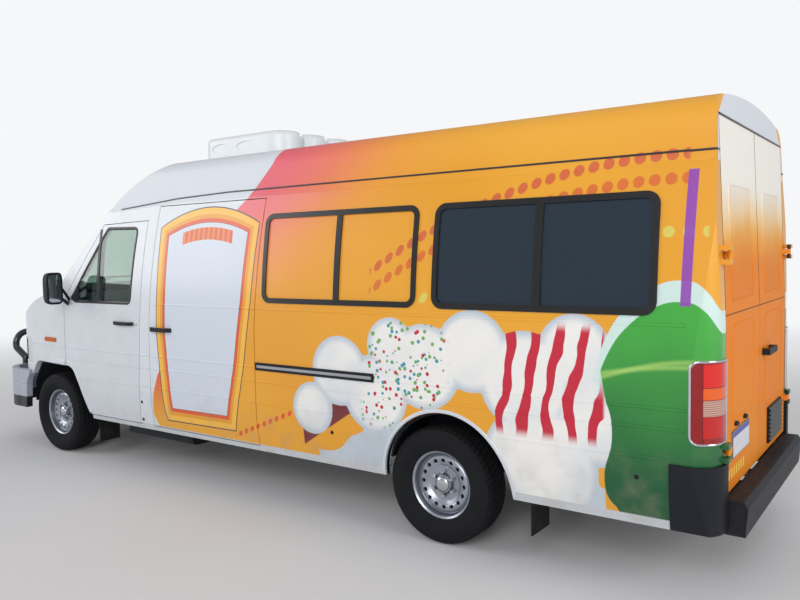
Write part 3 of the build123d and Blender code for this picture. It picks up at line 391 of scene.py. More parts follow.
def moulding(loop: np.ndarray, share: Sequence[float] | np.ndarray, rise: Sequence[float] | np.ndarray,
             place: Callable[[np.ndarray, np.ndarray, np.ndarray], np.ndarray | tuple]) -> Shape:
    """A moulded panel: rings P = centre + share (loop - centre), each with a rise, set in space by a function.

    Args:
        loop: Array (n, 2) of the panel's outline.
        share: Size of each ring against the outline.
        rise: Rise of each ring.
        place: Gives the scene's x, y and z for the two plane coordinates and the rise.

    Returns:
        Vertices and faces.
    """
    centre = loop.mean(0)
    flat = centre + np.asarray(share, float)[:, None, None] * (loop - centre)[None]
    height = np.asarray(rise, float)[:, None] + 0 * flat[..., 0]
    points = place(flat[..., 0], flat[..., 1], height)
    points = np.stack(np.broadcast_arrays(*points), -1) if isinstance(points, tuple) else points
    return grid(points, wrap_columns=True)


def bow(count: int = 40) -> tuple[np.ndarray, np.ndarray]:
    """Even steps s from -1 to 1, and the bow of a grab handle, 1 - s^6."""
    s = np.linspace(-1, 1, count)
    return s, 1 - s ** 6


def mesh_object(name: str, shape: Shape) -> Object:
    """An object at the origin whose mesh is written from arrays."""
    vertices, faces = shape
    mesh = bpy.data.meshes.new(name)
    mesh.vertices.add(len(vertices))
    mesh.vertices.foreach_set("co", np.ascontiguousarray(vertices, np.float32).ravel())
    mesh.loops.add(faces.size)
    mesh.loops.foreach_set("vertex_index", np.ascontiguousarray(faces, np.int32).ravel())
    mesh.polygons.add(len(faces))
    mesh.polygons.foreach_set("loop_start", np.arange(0, faces.size, faces.shape[1], dtype=np.int32))
    mesh.update(calc_edges=True)
    mesh.validate()
    made = bpy.data.objects.new(name, mesh)
    bpy.context.scene.collection.objects.link(made)
    return made


@dataclass(frozen=True)
class Shop:
    """Makes finished pieces in the stock's materials."""

    stock: dict[str, Material]

    def make(self, name: str, shape: Shape, slot: str, finish: str, body: str = "truck", sharp: float = 40.0,
             instead: str = "") -> Object:
        """A finished object at the origin that rides on a body.

        Args:
            name: Name of the piece.
            shape: Vertices and faces.
            slot: Material slot of the record; not used.
            finish: Name of its material in the stock.
            body: Body that it rides on.
            sharp: Angle in degrees over which an edge stays sharp.
            instead: Node that it replaces, if any.

        Returns:
            The object.
        """
        made = mesh_object(name, shape)
        made.data.polygons.foreach_set("use_smooth", np.ones(len(made.data.polygons), bool))
        made.data.set_sharp_from_angle(angle=math.radians(sharp))
        made.data.materials.append(self.stock[finish])
        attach(made, body)
        if instead:
            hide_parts(instead)
        log.info("%s: %d faces on %s", name, len(shape[1]), body)
        return made

    def pair(self, name: str, shape: Shape, slot: str, finish: str, body: str = "truck", sharp: float = 40.0,
             instead: str = "") -> None:
        """The shape on the left and its mirror image on the right, named after their sides; body and instead
        may hold {side}."""
        for side, made in (("left", shape), ("right", mirrored(shape))):
            self.make(f"{side}_{name}", made, slot, finish, body.format(side=side), sharp, instead.format(side=side))


# Materials

@dataclass(frozen=True)
class Term:
    """A socket of a material with arithmetic, so that formulas read as they are written."""

    shade: "Shade"
    socket: Socket

    def __add__(self, other: Value) -> "Term":
        """Sum."""
        return self.shade.calc("ADD", self, other)

    def __sub__(self, other: Value) -> "Term":
        """Difference."""
        return self.shade.calc("SUBTRACT", self, other)

    def __rsub__(self, other: float) -> "Term":
        """Difference from a constant."""
        return self.shade.calc("SUBTRACT", other, self)

    def __mul__(self, other: Value) -> "Term":
        """Product, which of two masks is what both cover."""
        return self.shade.calc("MULTIPLY", self, other)

    def most(self, other: Value) -> "Term":
        """The larger of two."""
        return self.shade.calc("MAXIMUM", self, other)

    def least(self, other: Value) -> "Term":
        """The smaller of two."""
        return self.shade.calc("MINIMUM", self, other)

    def sine(self, speed: float = 1.0) -> "Term":
        """Sine of the term times a speed."""
        return self.shade.calc("SINE", self * speed)

    def ramp(self, low: float, high: float) -> "Term":
        """Smooth step from 0 at low to 1 at high."""
        settings = {"interpolation_type": "SMOOTHSTEP"}
        return self.shade.out("ShaderNodeMapRange", settings, Value=self, From_Min=low, From_Max=high)

    def above(self, edge: Value, soft: float = 0.002) -> "Term":
        """1 over an edge, with a soft step."""
        return (self - edge).ramp(-soft, soft)

    def below(self, edge: float, soft: float = 0.002) -> "Term":
        """1 under an edge, with a soft step."""
        return (edge - self).ramp(-soft, soft)

    def within(self, low: float, high: float, soft: float = 0.002) -> "Term":
        """1 between two limits."""
        return self.ramp(low - soft, low + soft) * self.ramp(high + soft, high - soft)

    def curve(self, table: Table | np.ndarray, smooth: bool = False) -> "Term":
        """A function given by a short table.

        Args:
            table: Pairs of argument and result, in order.
            smooth: Whether the line is rounded at its points.

        Returns:
            The result.
        """
        points = np.array(table, float)
        low, high = points.min(0), points.max(0)
        share = self.shade.calc("DIVIDE", self - low[0], high[0] - low[0])
        made = self.shade.node("ShaderNodeFloatCurve", Value=share)
        line = made.mapping.curves[0].points
        for at, point in enumerate((points - low) / np.maximum(high - low, 1e-6)):
            if at < 2:
                line[at].location = point
            else:
                line.new(*point)
        for point in line:
            point.handle_type = "AUTO" if smooth else "VECTOR"
        made.mapping.update()
        return Term(self.shade, made.outputs[0]) * (high[1] - low[1]) + low[1]


class Shade:
    """A material's node tree and its colour in work, on which each tone is laid over the ones before."""

    def __init__(self, name: str) -> None:
        """Start a material with one principled shader and Object coordinates."""
        self.material = bpy.data.materials.new(name)
        self.material.use_nodes = True
        self.tree = self.material.node_tree
        self.tree.nodes.clear()
        output = self.tree.nodes.new("ShaderNodeOutputMaterial")
        self.shader = self.tree.nodes.new("ShaderNodeBsdfPrincipled")
        self.tree.links.new(self.shader.outputs[0], output.inputs["Surface"])
        self.place = self.tree.nodes.new("ShaderNodeTexCoord").outputs["Object"]
        parts = self.node("ShaderNodeSeparateXYZ", Vector=self.place).outputs
        x, self.side, self.z = (Term(self, part) for part in parts)
        self.x, self.y = x - AXLE_X, self.calc("ABSOLUTE", self.side)
        self.colour: Tone = LINING

    def feed(self, socket: Socket, value: Value | Tone | Socket) -> None:
        """Link a socket, or set its constant."""
        value = value.socket if isinstance(value, Term) else value
        if isinstance(value, Socket):
            self.tree.links.new(value, socket)
        elif isinstance(value, (int, float)):
            socket.default_value = value
        else:
            socket.default_value = (*value, 1.0) if len(socket.default_value) == 4 else value

    def node(self, kind: str, settings: dict | None = None, **inputs: Value | Tone | Socket) -> Node:
        """Add a node.

        Args:
            kind: Node type.
            settings: Properties to set.
            **inputs: Named inputs, with underscores for spaces.

        Returns:
            The node.
        """
        made = self.tree.nodes.new(kind)
        for key, value in (settings or {}).items():
            setattr(made, key, value)
        for key, value in inputs.items():
            self.feed(made.inputs[key.replace("_", " ")], value)
        return made

    def out(self, kind: str, settings: dict | None = None, **inputs: Value | Tone | Socket) -> Term:
        """Add a node and take its first output."""
        return Term(self, self.node(kind, settings, **inputs).outputs[0])

    def calc(self, operation: str, *values: Value) -> Term:
        """One arithmetic step."""
        made = self.node("ShaderNodeMath", {"operation": operation})
        for socket, value in zip(made.inputs, values):
            self.feed(socket, value)
        return Term(self, made.outputs[0])

    def away(self, across: Term, up: Term, centre: tuple[float, float]) -> Term:
        """Distance in a plane from a centre."""
        made = self.node("ShaderNodeVectorMath", {"operation": "DISTANCE"})
        self.feed(made.inputs[0], self.out("ShaderNodeCombineXYZ", X=across, Y=up))
        made.inputs[1].default_value = (*centre, 0)
        return Term(self, made.outputs["Value"])

    def noise(self, scale: float, detail: float = 3.0, stretch: Sequence[float] = (1, 1, 1)) -> Term:
        """Noise over Object coordinates, 0 to 1.

        Args:
            scale: Cells to a metre.
            detail: Octaves.
            stretch: Scale of each axis.

        Returns:
            The value.
        """
        mapping = self.out("ShaderNodeMapping", Vector=self.place, Scale=stretch)
        return self.out("ShaderNodeTexNoise", Vector=mapping, Scale=scale, Detail=detail)

    def blend(self, share: Value, a: Tone, b: Tone) -> Term:
        """Colour between a and b."""
        made = self.node("ShaderNodeMix", {"data_type": "RGBA"})
        for at, value in ((0, share), (6, a), (7, b)):
            self.feed(made.inputs[at], value)
        return Term(self, made.outputs[2])

    def lay(self, share: Value, tone: Tone) -> None:
        """Lay a tone over the colour in work."""
        self.colour = self.blend(share, self.colour, tone)

    def edge(self) -> None:
        """Keep the colour on the outer skin: black painted shade on the faces of the shut gaps and the rear jamb, plain
        inside.

        The depth under the skin is half(z) - |y| on the flank and 0.130 - r about the rear corner's axis.
        """
        along = self.x - CORNER_X - (self.z - LEAN_Z).most(0.0) * REAR_LEAN
        across = self.y - CORNER_Y
        radius = self.calc("SQRT", along * along + across * across)
        corner = self.x.above(CORNER_X) * 9.0 + (CORNER_R - radius)
        depth = (self.z.curve(HALF_TABLE) - self.y).least(corner)
        jamb = self.x.below(-1.400) * self.y.below(0.7975, 0.0005)
        # Painted shade: black on the faces about 12 to 41 mm under the skin and on the jamb, plain lining deeper in.
        inner = self.blend(depth.ramp(0.042, 0.040).most(jamb), LINING, GAP_SHADE)
        self.colour = self.blend(depth.ramp(0.013, 0.011) * (1.0 - jamb), inner, self.colour)

    def dents(self, height: Value, strength: float, distance: float) -> None:
        """Bump from a height in 0 to 1."""
        bump = self.out("ShaderNodeBump", Height=height, Strength=strength, Distance=distance)
        self.feed(self.shader.inputs["Normal"], bump)

    def finish(self, rough: Value, **constants: Value | Tone) -> Material:
        """Feed the shader with the colour in work.

        Args:
            rough: Roughness.
            **constants: Other shader inputs, with underscores for spaces.

        Returns:
            The material.
        """
        for key, value in {"Base_Color": self.colour, "Roughness": rough, **constants}.items():
            self.feed(self.shader.inputs[key.replace("_", " ")], value)
        return self.material


PLAIN = (1, 1, 1)


class Grain(Enum):
    """Relief of a plain finish: cells to a metre, octaves, stretch, strength and depth of its noise."""

    ORANGE_PEEL = (160.0, 1.0, PLAIN, 0.05, 0.0004)
    MOULDED = (420.0, 2.0, PLAIN, 0.22, 0.0006)
    BRUSHED = (60.0, 2.0, (0.05, 6, 6), 0.08, 0.0004)
    CAST = (180.0, 4.0, PLAIN, 0.5, 0.002)
    WOVEN = "two crossed waves"
    SMOOTH = "none"


@dataclass(frozen=True)
class Finish:
    """A plain finish with its relief, wear and dust."""

    name: str
    colour: Colour
    rough: float
    metal: float = 0.0
    grain: Grain = Grain.MOULDED
    coat: float = 0.0
    dust: float = 0.15
    # Whether black painted shade goes on the faces of the shut gaps.
    edged: bool = False

    def material(self) -> Material:
        """Colour varied by noise, dust below the sill, relief from the grain, and less gloss on matt stuff."""
        shade = Shade(self.name)
        dark = tuple(part * 0.86 for part in self.colour)
        shade.colour = shade.blend(shade.noise(7.0, 4.0), dark, self.colour)
        low = shade.z.ramp(0.75, 0.15) * shade.noise(14.0, 5.0).ramp(0.35, 0.75)
        shade.lay(low * (self.dust * 2.2), srgb(150, 132, 108))
        # Black painted shade on the faces of the shut gaps.
        if self.edged:
            shade.edge()
        if self.grain is Grain.WOVEN:
            waves = [shade.node("ShaderNodeTexWave", {"bands_direction": way}, Vector=shade.place, Scale=90.0)
                     for way in ("Y", "Z")]
            shade.dents(shade.calc("MULTIPLY", *(wave.outputs[1] for wave in waves)), 0.4, 0.0012)
        elif self.grain is not Grain.SMOOTH:
            cells, octaves, stretch, strength, depth = self.grain.value
            shade.dents(shade.noise(cells, octaves, stretch), strength, depth)
        return shade.finish(shade.noise(40.0, 2.0) * 0.12 + (self.rough - 0.05), Metallic=self.metal,
                            Coat_Weight=self.coat, Coat_Roughness=0.15,
                            Specular_IOR_Level=0.25 if self.rough > 0.47 else 0.5)


@dataclass(frozen=True)
class Pane:
    """Glass with a tint."""

    name: str
    tint: Colour
    through: float

    def material(self) -> Material:
        """Glass whose tint is carried by its colour, with faint waves; a darker pane lets less light through."""
        shade = Shade(self.name)
        pale = tuple(min(1.0, part * 1.12) for part in self.tint)
        shade.colour = shade.blend(shade.noise(3.0, 2.0), self.tint, pale)
        return shade.finish(shade.noise(25.0, 4.0) * 0.008, Transmission_Weight=self.through, IOR=1.45)


class Skin(Enum):
    """Which outer faces of a panel carry the wrap."""

    FLANK = "flank and rear corner"
    ROOF = "side of the roof cap"
    PANE = "closed window pane"


@dataclass(frozen=True)
class Wrap:
    """The truck's colours: a white cab, a pink fade into orange, a green rear corner and a blank menu board.

    Every outline is a short table, measured from the rear axle and the ground.
    """

    white: Colour = srgb(214, 219, 226)
    orange: Colour = srgb(228, 156, 30)
    amber: Colour = srgb(243, 184, 62)
    red: Colour = srgb(222, 84, 40)
    crimson: Colour = srgb(196, 22, 52)
    maroon: Colour = srgb(112, 24, 34)
    white_edge: Table = (
        (0.30, 2.45), (0.42, 2.57), (0.50, 2.61), (0.65, 2.59), (0.80, 2.53), (0.92, 2.45), (1.00, 2.20),
        (1.80, 1.97), (1.99, 1.74), (2.106, 1.594), (2.191, 1.500), (2.332, 1.364), (2.462, 1.300), (2.56, 1.27))
    clouds: Table = (
        (0.93, 0.72, 0.17), (0.70, 0.98, 0.22), (0.42, 0.86, 0.24), (0.30, 1.16, 0.17), (0.06, 1.05, 0.25),
        (-0.26, 1.16, 0.23), (-0.58, 1.02, 0.27), (-0.86, 1.19, 0.20), (-1.00, 0.86, 0.24), (-0.66, 0.58, 0.33))
    bank: Table = ((-1.30, 0.42), (-1.06, 0.50), (-0.50, 0.62), (0.10, 0.70), (0.60, 0.58), (0.86, 0.45), (1.02, 0.50))
    hill: Table = (
        (-1.70, 1.00), (-1.60, 1.17), (-1.55, 1.31), (-1.48, 1.43), (-1.38, 1.46), (-1.26, 1.43), (-1.15, 1.35),
        (-1.05, 1.22), (-0.98, 1.02), (-0.96, 0.30))
    hill_front: Table = (
        (0.30, -1.16), (0.42, -1.08), (0.55, -1.02), (0.80, -1.06), (1.00, -1.02), (1.30, -0.98), (1.60, -0.98))
    board_front: Table = ((0.40, 2.42), (0.54, 2.465), (0.85, 2.50), (1.14, 2.525), (1.95, 2.508), (2.20, 2.50))
    board_back: Table = ((0.40, 1.70), (0.47, 1.676), (0.95, 1.56), (1.385, 1.486), (1.942, 1.437), (2.20, 1.43))

    def panel(self, skin: Skin) -> Material:
        """The wrap on one kind of panel.

        Args:
            skin: Which faces carry it.

        Returns:
            The material.
        """
        shade = Shade(f"wrap_{skin.name.lower()}")
        layers = [self.ground, self.dots] + [self.motif, self.corner, self.board] * (skin is not Skin.PANE)
        for layer in layers + [self.weather]:
            layer(shade)
        # Black painted shade on the faces of the shut gaps.
        if skin is Skin.FLANK:
            shade.edge()
        if skin is Skin.ROOF:
            outer = shade.y.above(shade.z.curve(HALF_TABLE) - 0.022, 0.001) * shade.x.above(-1.535, 0.003)
            shade.colour = shade.blend(outer, self.white, shade.colour)
        shade.dents(shade.noise(140.0, 1.0), 0.03, 0.0004)
        matt, coat = (0.40, 0.0) if skin is Skin.ROOF else (0.26, 0.2)
        return shade.finish(shade.noise(5.0, 4.0) * 0.12 + matt, Coat_Weight=coat, Coat_Roughness=0.12)

    def ground(self, shade: Shade) -> None:
        """Orange behind the cab with a pink fade along the edge of the white."""
        x, z = shade.x, shade.z
        edge = z.curve(self.white_edge)
        behind = edge - x
        shade.colour = shade.blend(shade.noise(0.9, 1.0).ramp(0.3, 0.7), self.orange, srgb(232, 164, 40))
        shade.lay(z.ramp(2.1, 2.5) * 0.5, srgb(240, 178, 72))
        shade.lay(behind.ramp(1.6, 0.3) * z.ramp(1.25, 2.0) * 0.75, srgb(232, 122, 56))
        shade.lay(behind.ramp(1.15, 0.0) * z.ramp(1.35, 2.10), srgb(226, 98, 112))
        shade.lay(x.ramp(2.25, 2.42) * z.ramp(0.42, 0.86), self.red)
        shade.lay(x.above(edge, 0.003), self.white)

    def dots(self, shade: Shade) -> None:
        """Rows of round dots along a rising arc, z = 2.12 - 0.17 (x + 1.35)^2, and a small row at the sill.

        A dot is where the distance from (nearest multiple of the pitch, offset) is under the radius.
        """
        x, run = shade.x, shade.x + 1.35
        rise = shade.z - (2.12 - run * run * 0.17)
        low = shade.z - (x * -0.40 + 1.115)
        short = x.within(-1.40, 0.46, 0.01) * 0.85
        rows = ((rise, 0.038, 0.078, 0.029, srgb(206, 84, 56), short),
                (rise, -0.078, 0.078, 0.029, srgb(214, 98, 44), short),
                (rise, -0.33, 0.092, 0.028, srgb(214, 208, 96), x.within(-1.50, 0.10, 0.01) * 0.85),
                (low, 0.0, 0.062, 0.019, self.red, x.within(0.98, 1.68, 0.01)))
        for height, offset, pitch, radius, tone, span in rows:
            along = (shade.calc("FRACT", shade.calc("DIVIDE", x + 9.0, pitch)) - 0.5) * pitch
            across = height - offset
            away = shade.calc("SQRT", along * along + across * across)
            shade.lay(away.ramp(radius + 0.002, radius - 0.002) * span, tone)

    def motif(self, shade: Shade) -> None:
        """A bank of plain clouds over a maroon ribbon, striped with crimson ripples and sprinkled with confetti."""
        x, z = shade.x, shade.z
        ribbon = (x * 0.62 + z).within(1.10, 1.30, 0.003) * x.within(0.20, 1.02, 0.003)
        shade.lay(ribbon * z.ramp(1.0, 0.98), self.maroon)
        under = shade.colour
        nearest: Value = 9.0
        for across, up, radius in self.clouds:
            nearest = shade.calc("SMOOTH_MIN", nearest, shade.away(x, z, (across, up)) - radius, 0.03)
        below = (z - x.curve(self.bank, True)).most(x - 0.90).most(-1.02 - x)
        puff = nearest.ramp(-0.26, -0.06) * shade.noise(3.5, 2.0).ramp(0.3, 0.8)
        shade.colour = shade.blend(puff * 0.6, srgb(238, 236, 232), srgb(198, 208, 218))
        shade.lay(nearest.ramp(-0.055, -0.004) * 0.75, srgb(176, 190, 204))
        ripple = (x * 46.0 + shade.noise(3.0, 2.0) * 9.0 + z * 6.0).sine().ramp(0.20, 0.36)
        shade.lay(ripple * x.within(-1.02, -0.40, 0.01) * z.within(0.74, 1.32, 0.03), self.crimson)
        cells = shade.node("ShaderNodeTexVoronoi", Vector=shade.out("ShaderNodeCombineXYZ", X=x, Y=z), Scale=26.0)
        tones = shade.node("ShaderNodeSeparateColor", Color=cells.outputs["Color"]).outputs
        confetti = shade.blend(Term(shade, tones[0]).above(0.5, 0.01), srgb(60, 150, 168), self.crimson)
        confetti = shade.blend(Term(shade, tones[1]).above(0.62, 0.01), confetti, srgb(112, 168, 86))
        sprinkle = Term(shade, cells.outputs["Distance"]).ramp(0.34, 0.28) * x.within(-0.10, 0.52, 0.03)
        shade.lay(sprinkle * z.ramp(0.62, 0.72), confetti)
        body = shade.calc("SMOOTH_MIN", nearest, below, 0.05)
        shade.colour = shade.blend(body.ramp(0.002, -0.002), under, shade.colour)

    def corner(self, shade: Shade) -> None:
        """A green rear corner that swells upwards, edged with a pale halo, and a purple stripe above it."""
        x, z = shade.x, shade.z
        inside = (z - x.curve(self.hill, True)).most(x - z.curve(self.hill_front, True))
        shade.lay(inside.ramp(0.103, 0.097) * z.ramp(0.95, 1.10), srgb(206, 228, 222))
        under = shade.colour
        height = z + shade.noise(1.6, 2.0) * 0.5
        shade.colour = shade.blend(height.ramp(0.8, 1.7), srgb(4, 84, 44), srgb(62, 168, 58))
        for level, depth in ((1.035, 0.060), (0.960, 0.110)):
            sweep = z - (x.sine(3.2) * depth + (level + depth))
            shade.lay(sweep.within(-0.010, 0.010, 0.010) * 0.55, srgb(176, 214, 110))
        shade.colour = shade.blend(inside.ramp(0.003, -0.003), under, shade.colour)
        stripe = ((z - 1.44) * 0.023 + x).within(-1.430, -1.382) * z.within(1.440, 2.081)
        shade.lay(stripe * 0.95, srgb(140, 62, 172))

    def board(self, shade: Shade) -> None:
        """A blank menu board: d is the least distance inside its left, right, lower and arched upper edges."""
        x, z = shade.x, shade.z
        arch = x - 1.972
        top = 2.072 - arch * arch * 0.47
        d = (z.curve(self.board_front) - x).least(x - z.curve(self.board_back))
        d = d.least(z - ((x - 1.70) * -0.012 + 0.468)).least((top - z) * 0.92)
        bands = ((0.0, srgb(24, 34, 66)), (0.008, self.amber), (0.050, self.orange), (0.078, self.red),
                 (0.103, self.maroon), (0.107, self.white), (0.114, srgb(206, 214, 226)))
        for inset, tone in bands:
            shade.lay(d.above(inset), tone)
        fan = (top - 0.105 - z).within(0.045, 0.135, 0.004) * x.within(1.70, 2.24, 0.004)
        shade.lay(fan, shade.blend(x.sine(118.0).above(0.0, 0.3), srgb(232, 122, 44), srgb(206, 88, 36)))

    def weather(self, shade: Shade) -> None:
        """The pale sill and a little road dust above it."""
        shade.lay(shade.z.ramp(0.408, 0.402), srgb(196, 201, 205))
        dust = shade.z.ramp(0.95, 0.36) * shade.noise(9.0, 5.0).ramp(0.40, 0.80)
        shade.lay(dust * 0.30, srgb(156, 142, 120))


def rear_door_skin() -> Material:
    """Rear door finish: pale at the top, orange below, grey inside and black painted shade on the edges of the shut
    gaps.

    The fade is a ramp of height bent by slow noise; a black line crosses both doors at z = 1.39.
    """
    shade = Shade("rear_door_skin")
    x, y, z = shade.x, shade.y, shade.z
    height = z + shade.noise(2.2, 2.0) * 0.16
    shade.colour = shade.blend(height.ramp(1.66, 2.02), srgb(232, 132, 34), srgb(240, 192, 96))
    shade.lay(height.ramp(1.82, 2.14), srgb(238, 235, 226))
    shade.lay(shade.noise(1.1, 2.0).ramp(0.42, 0.7) * z.ramp(1.4, 0.6) * 0.6, srgb(236, 150, 34))
    shade.lay(z.within(1.385, 1.391, 0.001) * 0.85, srgb(40, 34, 32))
    shade.lay(y.within(0.155, 0.655, 0.006) * z.within(1.450, 2.020, 0.006) * 0.10, srgb(150, 96, 60))
    dash = shade.side.sine(118.0).above(0.1, 0.1) * shade.side.within(0.365, 0.745, 0.003)
    shade.lay(dash * z.within(0.575, 0.625), srgb(240, 206, 84))
    lean = (z - LEAN_Z).most(0.0) * REAR_LEAN
    shade.lay((x - lean).above(-1.520, 0.001), LINING)
    # Painted shade: the edge faces of the shut gaps are black.
    rim = y.above(0.7885, 0.0005).most(y.below(0.0045, 0.0005))
    shade.lay(rim * x.above(-1.548, 0.0005), GAP_SHADE)
    shade.dents(shade.noise(140.0, 1.0), 0.03, 0.0004)
    return shade.finish(shade.noise(5.0, 4.0) * 0.12 + 0.44, Specular_IOR_Level=0.10)


def tail_lens() -> Material:
    """Tail lamp lens: a dark red outer column, and red, amber, clear and red chambers towards the door.

    Chambers are bands of height behind x = -1.490; fluting is a fast sine of height, and a painted highlight lightens
    the inner chambers on the flutes' crests.
    """
    shade = Shade("tail_lens")
    x, z = shade.x, shade.z
    flute, inner = z.sine(620.0), x.below(-1.490)
    shade.colour = shade.blend(shade.noise(30.0, 2.0), srgb(128, 2, 8), srgb(152, 4, 12))
    shade.lay(x.within(-1.4925, -1.4875, 0.001), srgb(50, 2, 6))
    for low, high, tone in ((1.066, 1.172, srgb(214, 12, 14)), (1.008, 1.061, srgb(226, 92, 8)),
                            (0.930, 1.003, srgb(196, 160, 146)), (0.828, 0.925, srgb(186, 6, 16))):
        shade.lay(inner * z.within(low, high), tone)
    shade.lay(inner * z.within(0.930, 1.003) * flute.ramp(0.1, 0.6) * 0.75, srgb(120, 60, 50))
    # Painted highlight: the inner chambers are lighter on the crests of the flutes.
    shade.lay(inner * flute.ramp(-0.2, 1.0) * 0.12, srgb(240, 120, 80))
    shade.dents(flute, 0.25, 0.0008)
    return shade.finish(0.16, Coat_Weight=0.35, Coat_Roughness=0.05, Specular_IOR_Level=0.35)


REFLECTOR = (0.607, 0.886)


def head_lens() -> Material:
    """Headlamp: a painted reflection of the reflector bowl, a radial ramp from white at the lamp's centre to grey shade
    at its rim, and flutes as a sine of the sideways distance.
    """
    shade = Shade("head_lens")
    # Painted reflection and shade in the reflector bowl.
    bowl = shade.away(shade.y, shade.z, REFLECTOR).ramp(0.015, 0.105)
    shade.colour = shade.blend(bowl, srgb(250, 250, 246), srgb(128, 138, 148))
    shade.lay(shade.y.above(0.800, 0.003), srgb(188, 194, 200))
    shade.dents(shade.y.sine(620.0), 0.4, 0.0012)
    return shade.finish(0.06, Metallic=0.35, Coat_Weight=1.0, Coat_Roughness=0.02)


def bumper_skin() -> Material:
    """Silver moulding over a dark lip that begins at z = 0.45, with a groove that runs round at z = 0.56."""
    shade = Shade("bumper_skin")
    shade.colour = shade.blend(shade.noise(8.0, 3.0), srgb(160, 164, 178), srgb(174, 178, 190))
    shade.lay(shade.z.ramp(0.452, 0.446), srgb(34, 36, 42))
    shade.dents(1.0 - shade.z.within(0.558, 0.570, 0.004), 0.7, 0.004)
    return shade.finish(shade.noise(30.0, 2.0) * 0.1 + 0.36)


def blank_plate() -> Material:
    """A blank number plate: white, blue above z = 0.775, with a thin dark rim."""
    shade = Shade("blank_plate")
    colour = shade.blend(shade.noise(20.0, 3.0), srgb(206, 210, 216), srgb(226, 229, 233))
    colour = shade.blend(shade.z.above(0.775, 0.001), colour, srgb(58, 66, 160))
    inside = shade.y.within(0.294, 0.656, 0.001) * shade.z.within(0.678, 0.802, 0.001)
    shade.colour = shade.blend(inside, srgb(120, 124, 130), colour)
    return shade.finish(0.35)


def wheel_paint(name: str, x: float) -> Material:
    """Silver paint with painted shade: black in the pressed vents, as if they were holes, and darker rings in the well
    at r = 0.18 and round the hub at r = 0.06.

    Args:
        name: Name of the wheel.
        x: Station of its axle.

    Returns:
        The material.
    """
    shade = Shade(f"{name}_wheel_paint")
    radius = shade.away(shade.x, shade.z, (x, TYRE_RADIUS))
    shade.colour = shade.blend(shade.noise(12.0, 4.0), srgb(148, 153, 164), srgb(176, 181, 192))
    # Painted shade: darker rings in the rim's well and round the hub.
    ring_shade = radius.within(0.176, 0.188, 0.006).most(radius.within(0.052, 0.064, 0.006))
    shade.lay(ring_shade * 0.7, srgb(56, 58, 66))
    # Painted shade: the bottoms of the pressed vents are black, as if they were holes.
    shade.lay(radius.within(0.126, 0.154) * (shade.y - TRACK_HALF).ramp(0.042, 0.037), srgb(8, 8, 10))
    return shade.finish(shade.noise(30.0, 3.0) * 0.12 + 0.26, Metallic=0.7)


WHITE = srgb(214, 219, 226)
FINISHES = {
    "white": Finish("white_paint", WHITE, 0.24, 0.0, Grain.ORANGE_PEEL, 0.4, 0.10),
    "edged": Finish("white_panel_paint", WHITE, 0.24, 0.0, Grain.ORANGE_PEEL, 0.3, 0.10, True),
    "black": Finish("black_moulding", srgb(24, 27, 35), 0.50, dust=0.01),
    "frame": Finish("gloss_black_rubber", srgb(14, 15, 18), 0.30, 0.0, Grain.SMOOTH),
    "tube": Finish("dark_tube_paint", srgb(46, 46, 58), 0.22, 0.4, Grain.ORANGE_PEEL, 0.6),
    "amber": Finish("amber_lens", srgb(196, 98, 14), 0.48, 0.0, Grain.SMOOTH),
    "unit": Finish("cooler_shell", srgb(236, 240, 243), 0.35, 0.0, Grain.MOULDED, 0.1),
    "chassis": Finish("frame_paint", srgb(30, 30, 32), 0.55, 0.2, Grain.CAST, 0.0, 0.4),
    "iron": Finish("cast_iron", srgb(62, 60, 58), 0.62, 0.6, Grain.CAST, 0.0, 0.4),
    "spring": Finish("spring_steel", srgb(66, 62, 58), 0.55, 0.7, Grain.BRUSHED, 0.0, 0.35),
    "exhaust": Finish("exhaust_steel", srgb(132, 122, 110), 0.42, 0.8, Grain.BRUSHED, 0.0, 0.35),
    "wheel": Finish("silver_wheel_paint", srgb(186, 190, 200), 0.24, 0.85, Grain.ORANGE_PEEL, 0.5, 0.03),
    "tyre": Finish("tyre_rubber", srgb(21, 22, 25), 0.80, dust=0.0),
    "rubber": Finish("flap_rubber", srgb(24, 25, 28), 0.74, dust=0.02),
    "floor": Finish("floor_lining", srgb(96, 98, 102), 0.60),
    "steel": Finish("counter_steel", srgb(186, 188, 192), 0.34, 1.0, Grain.BRUSHED),
    "chrome": Finish("bright_metal", srgb(206, 210, 216), 0.15, 1.0, Grain.SMOOTH),
    "seat": Finish("seat_cloth", srgb(58, 62, 74), 0.85, 0.0, Grain.WOVEN),
    "trim": Finish("cab_trim", srgb(62, 64, 70), 0.62),
    "mirror": Finish("mirror_glass", srgb(196, 206, 214), 0.04, 1.0, Grain.SMOOTH),
    "clear": Pane("clear_glass", srgb(158, 180, 170), 1.0),
    "tinted": Pane("tinted_glass", srgb(50, 70, 88), 0.60),
}

# Which node wears which finish; {side} and {end} stand for left and right, front and rear.
WORN = {
    "white": "cab_frame bonnet front_fenders",
    "edged": "{side}_front_door",
    "black": "grille {side}_door_mirror_and_handle rear_door_vent_and_handle rear_corner_guards rear_step_bumper "
             "wheel_houses fuel_tank sliding_door_rail_and_handle",
    "frame": "side_window_frames",
    "tube": "nudge_bar",
    "amber": "side_marker_lamps",
    "unit": "roof_air_conditioner",
    "chassis": "chassis_frame front_suspension",
    "iron": "rear_axle propshaft_and_gearbox engine {side}_steering_knuckle",
    "spring": "leaf_springs",
    "exhaust": "exhaust",
    "wheel": "{end}_{side}_wheel",
    "tyre": "{end}_{side}_tyre",
    "rubber": "mud_flaps",
    "floor": "floor_pan",
    "steel": "serving_counter soft_serve_machine",
    "seat": "cab_seats",
    "trim": "dashboard steering_wheel",
    "flank": "{side}_side_wall sliding_door",
    "roof": "high_roof",
    "pane": "forward_window_panes",
    "rear_skin": "{side}_rear_door",
    "tail": "tail_lamps",
    "lens": "headlamps",
    "plate": "number_plate",
    "clear": "windscreen {side}_door_glass",
    "tinted": "serving_window_glass",
    "bumper": "front_bumper",
}


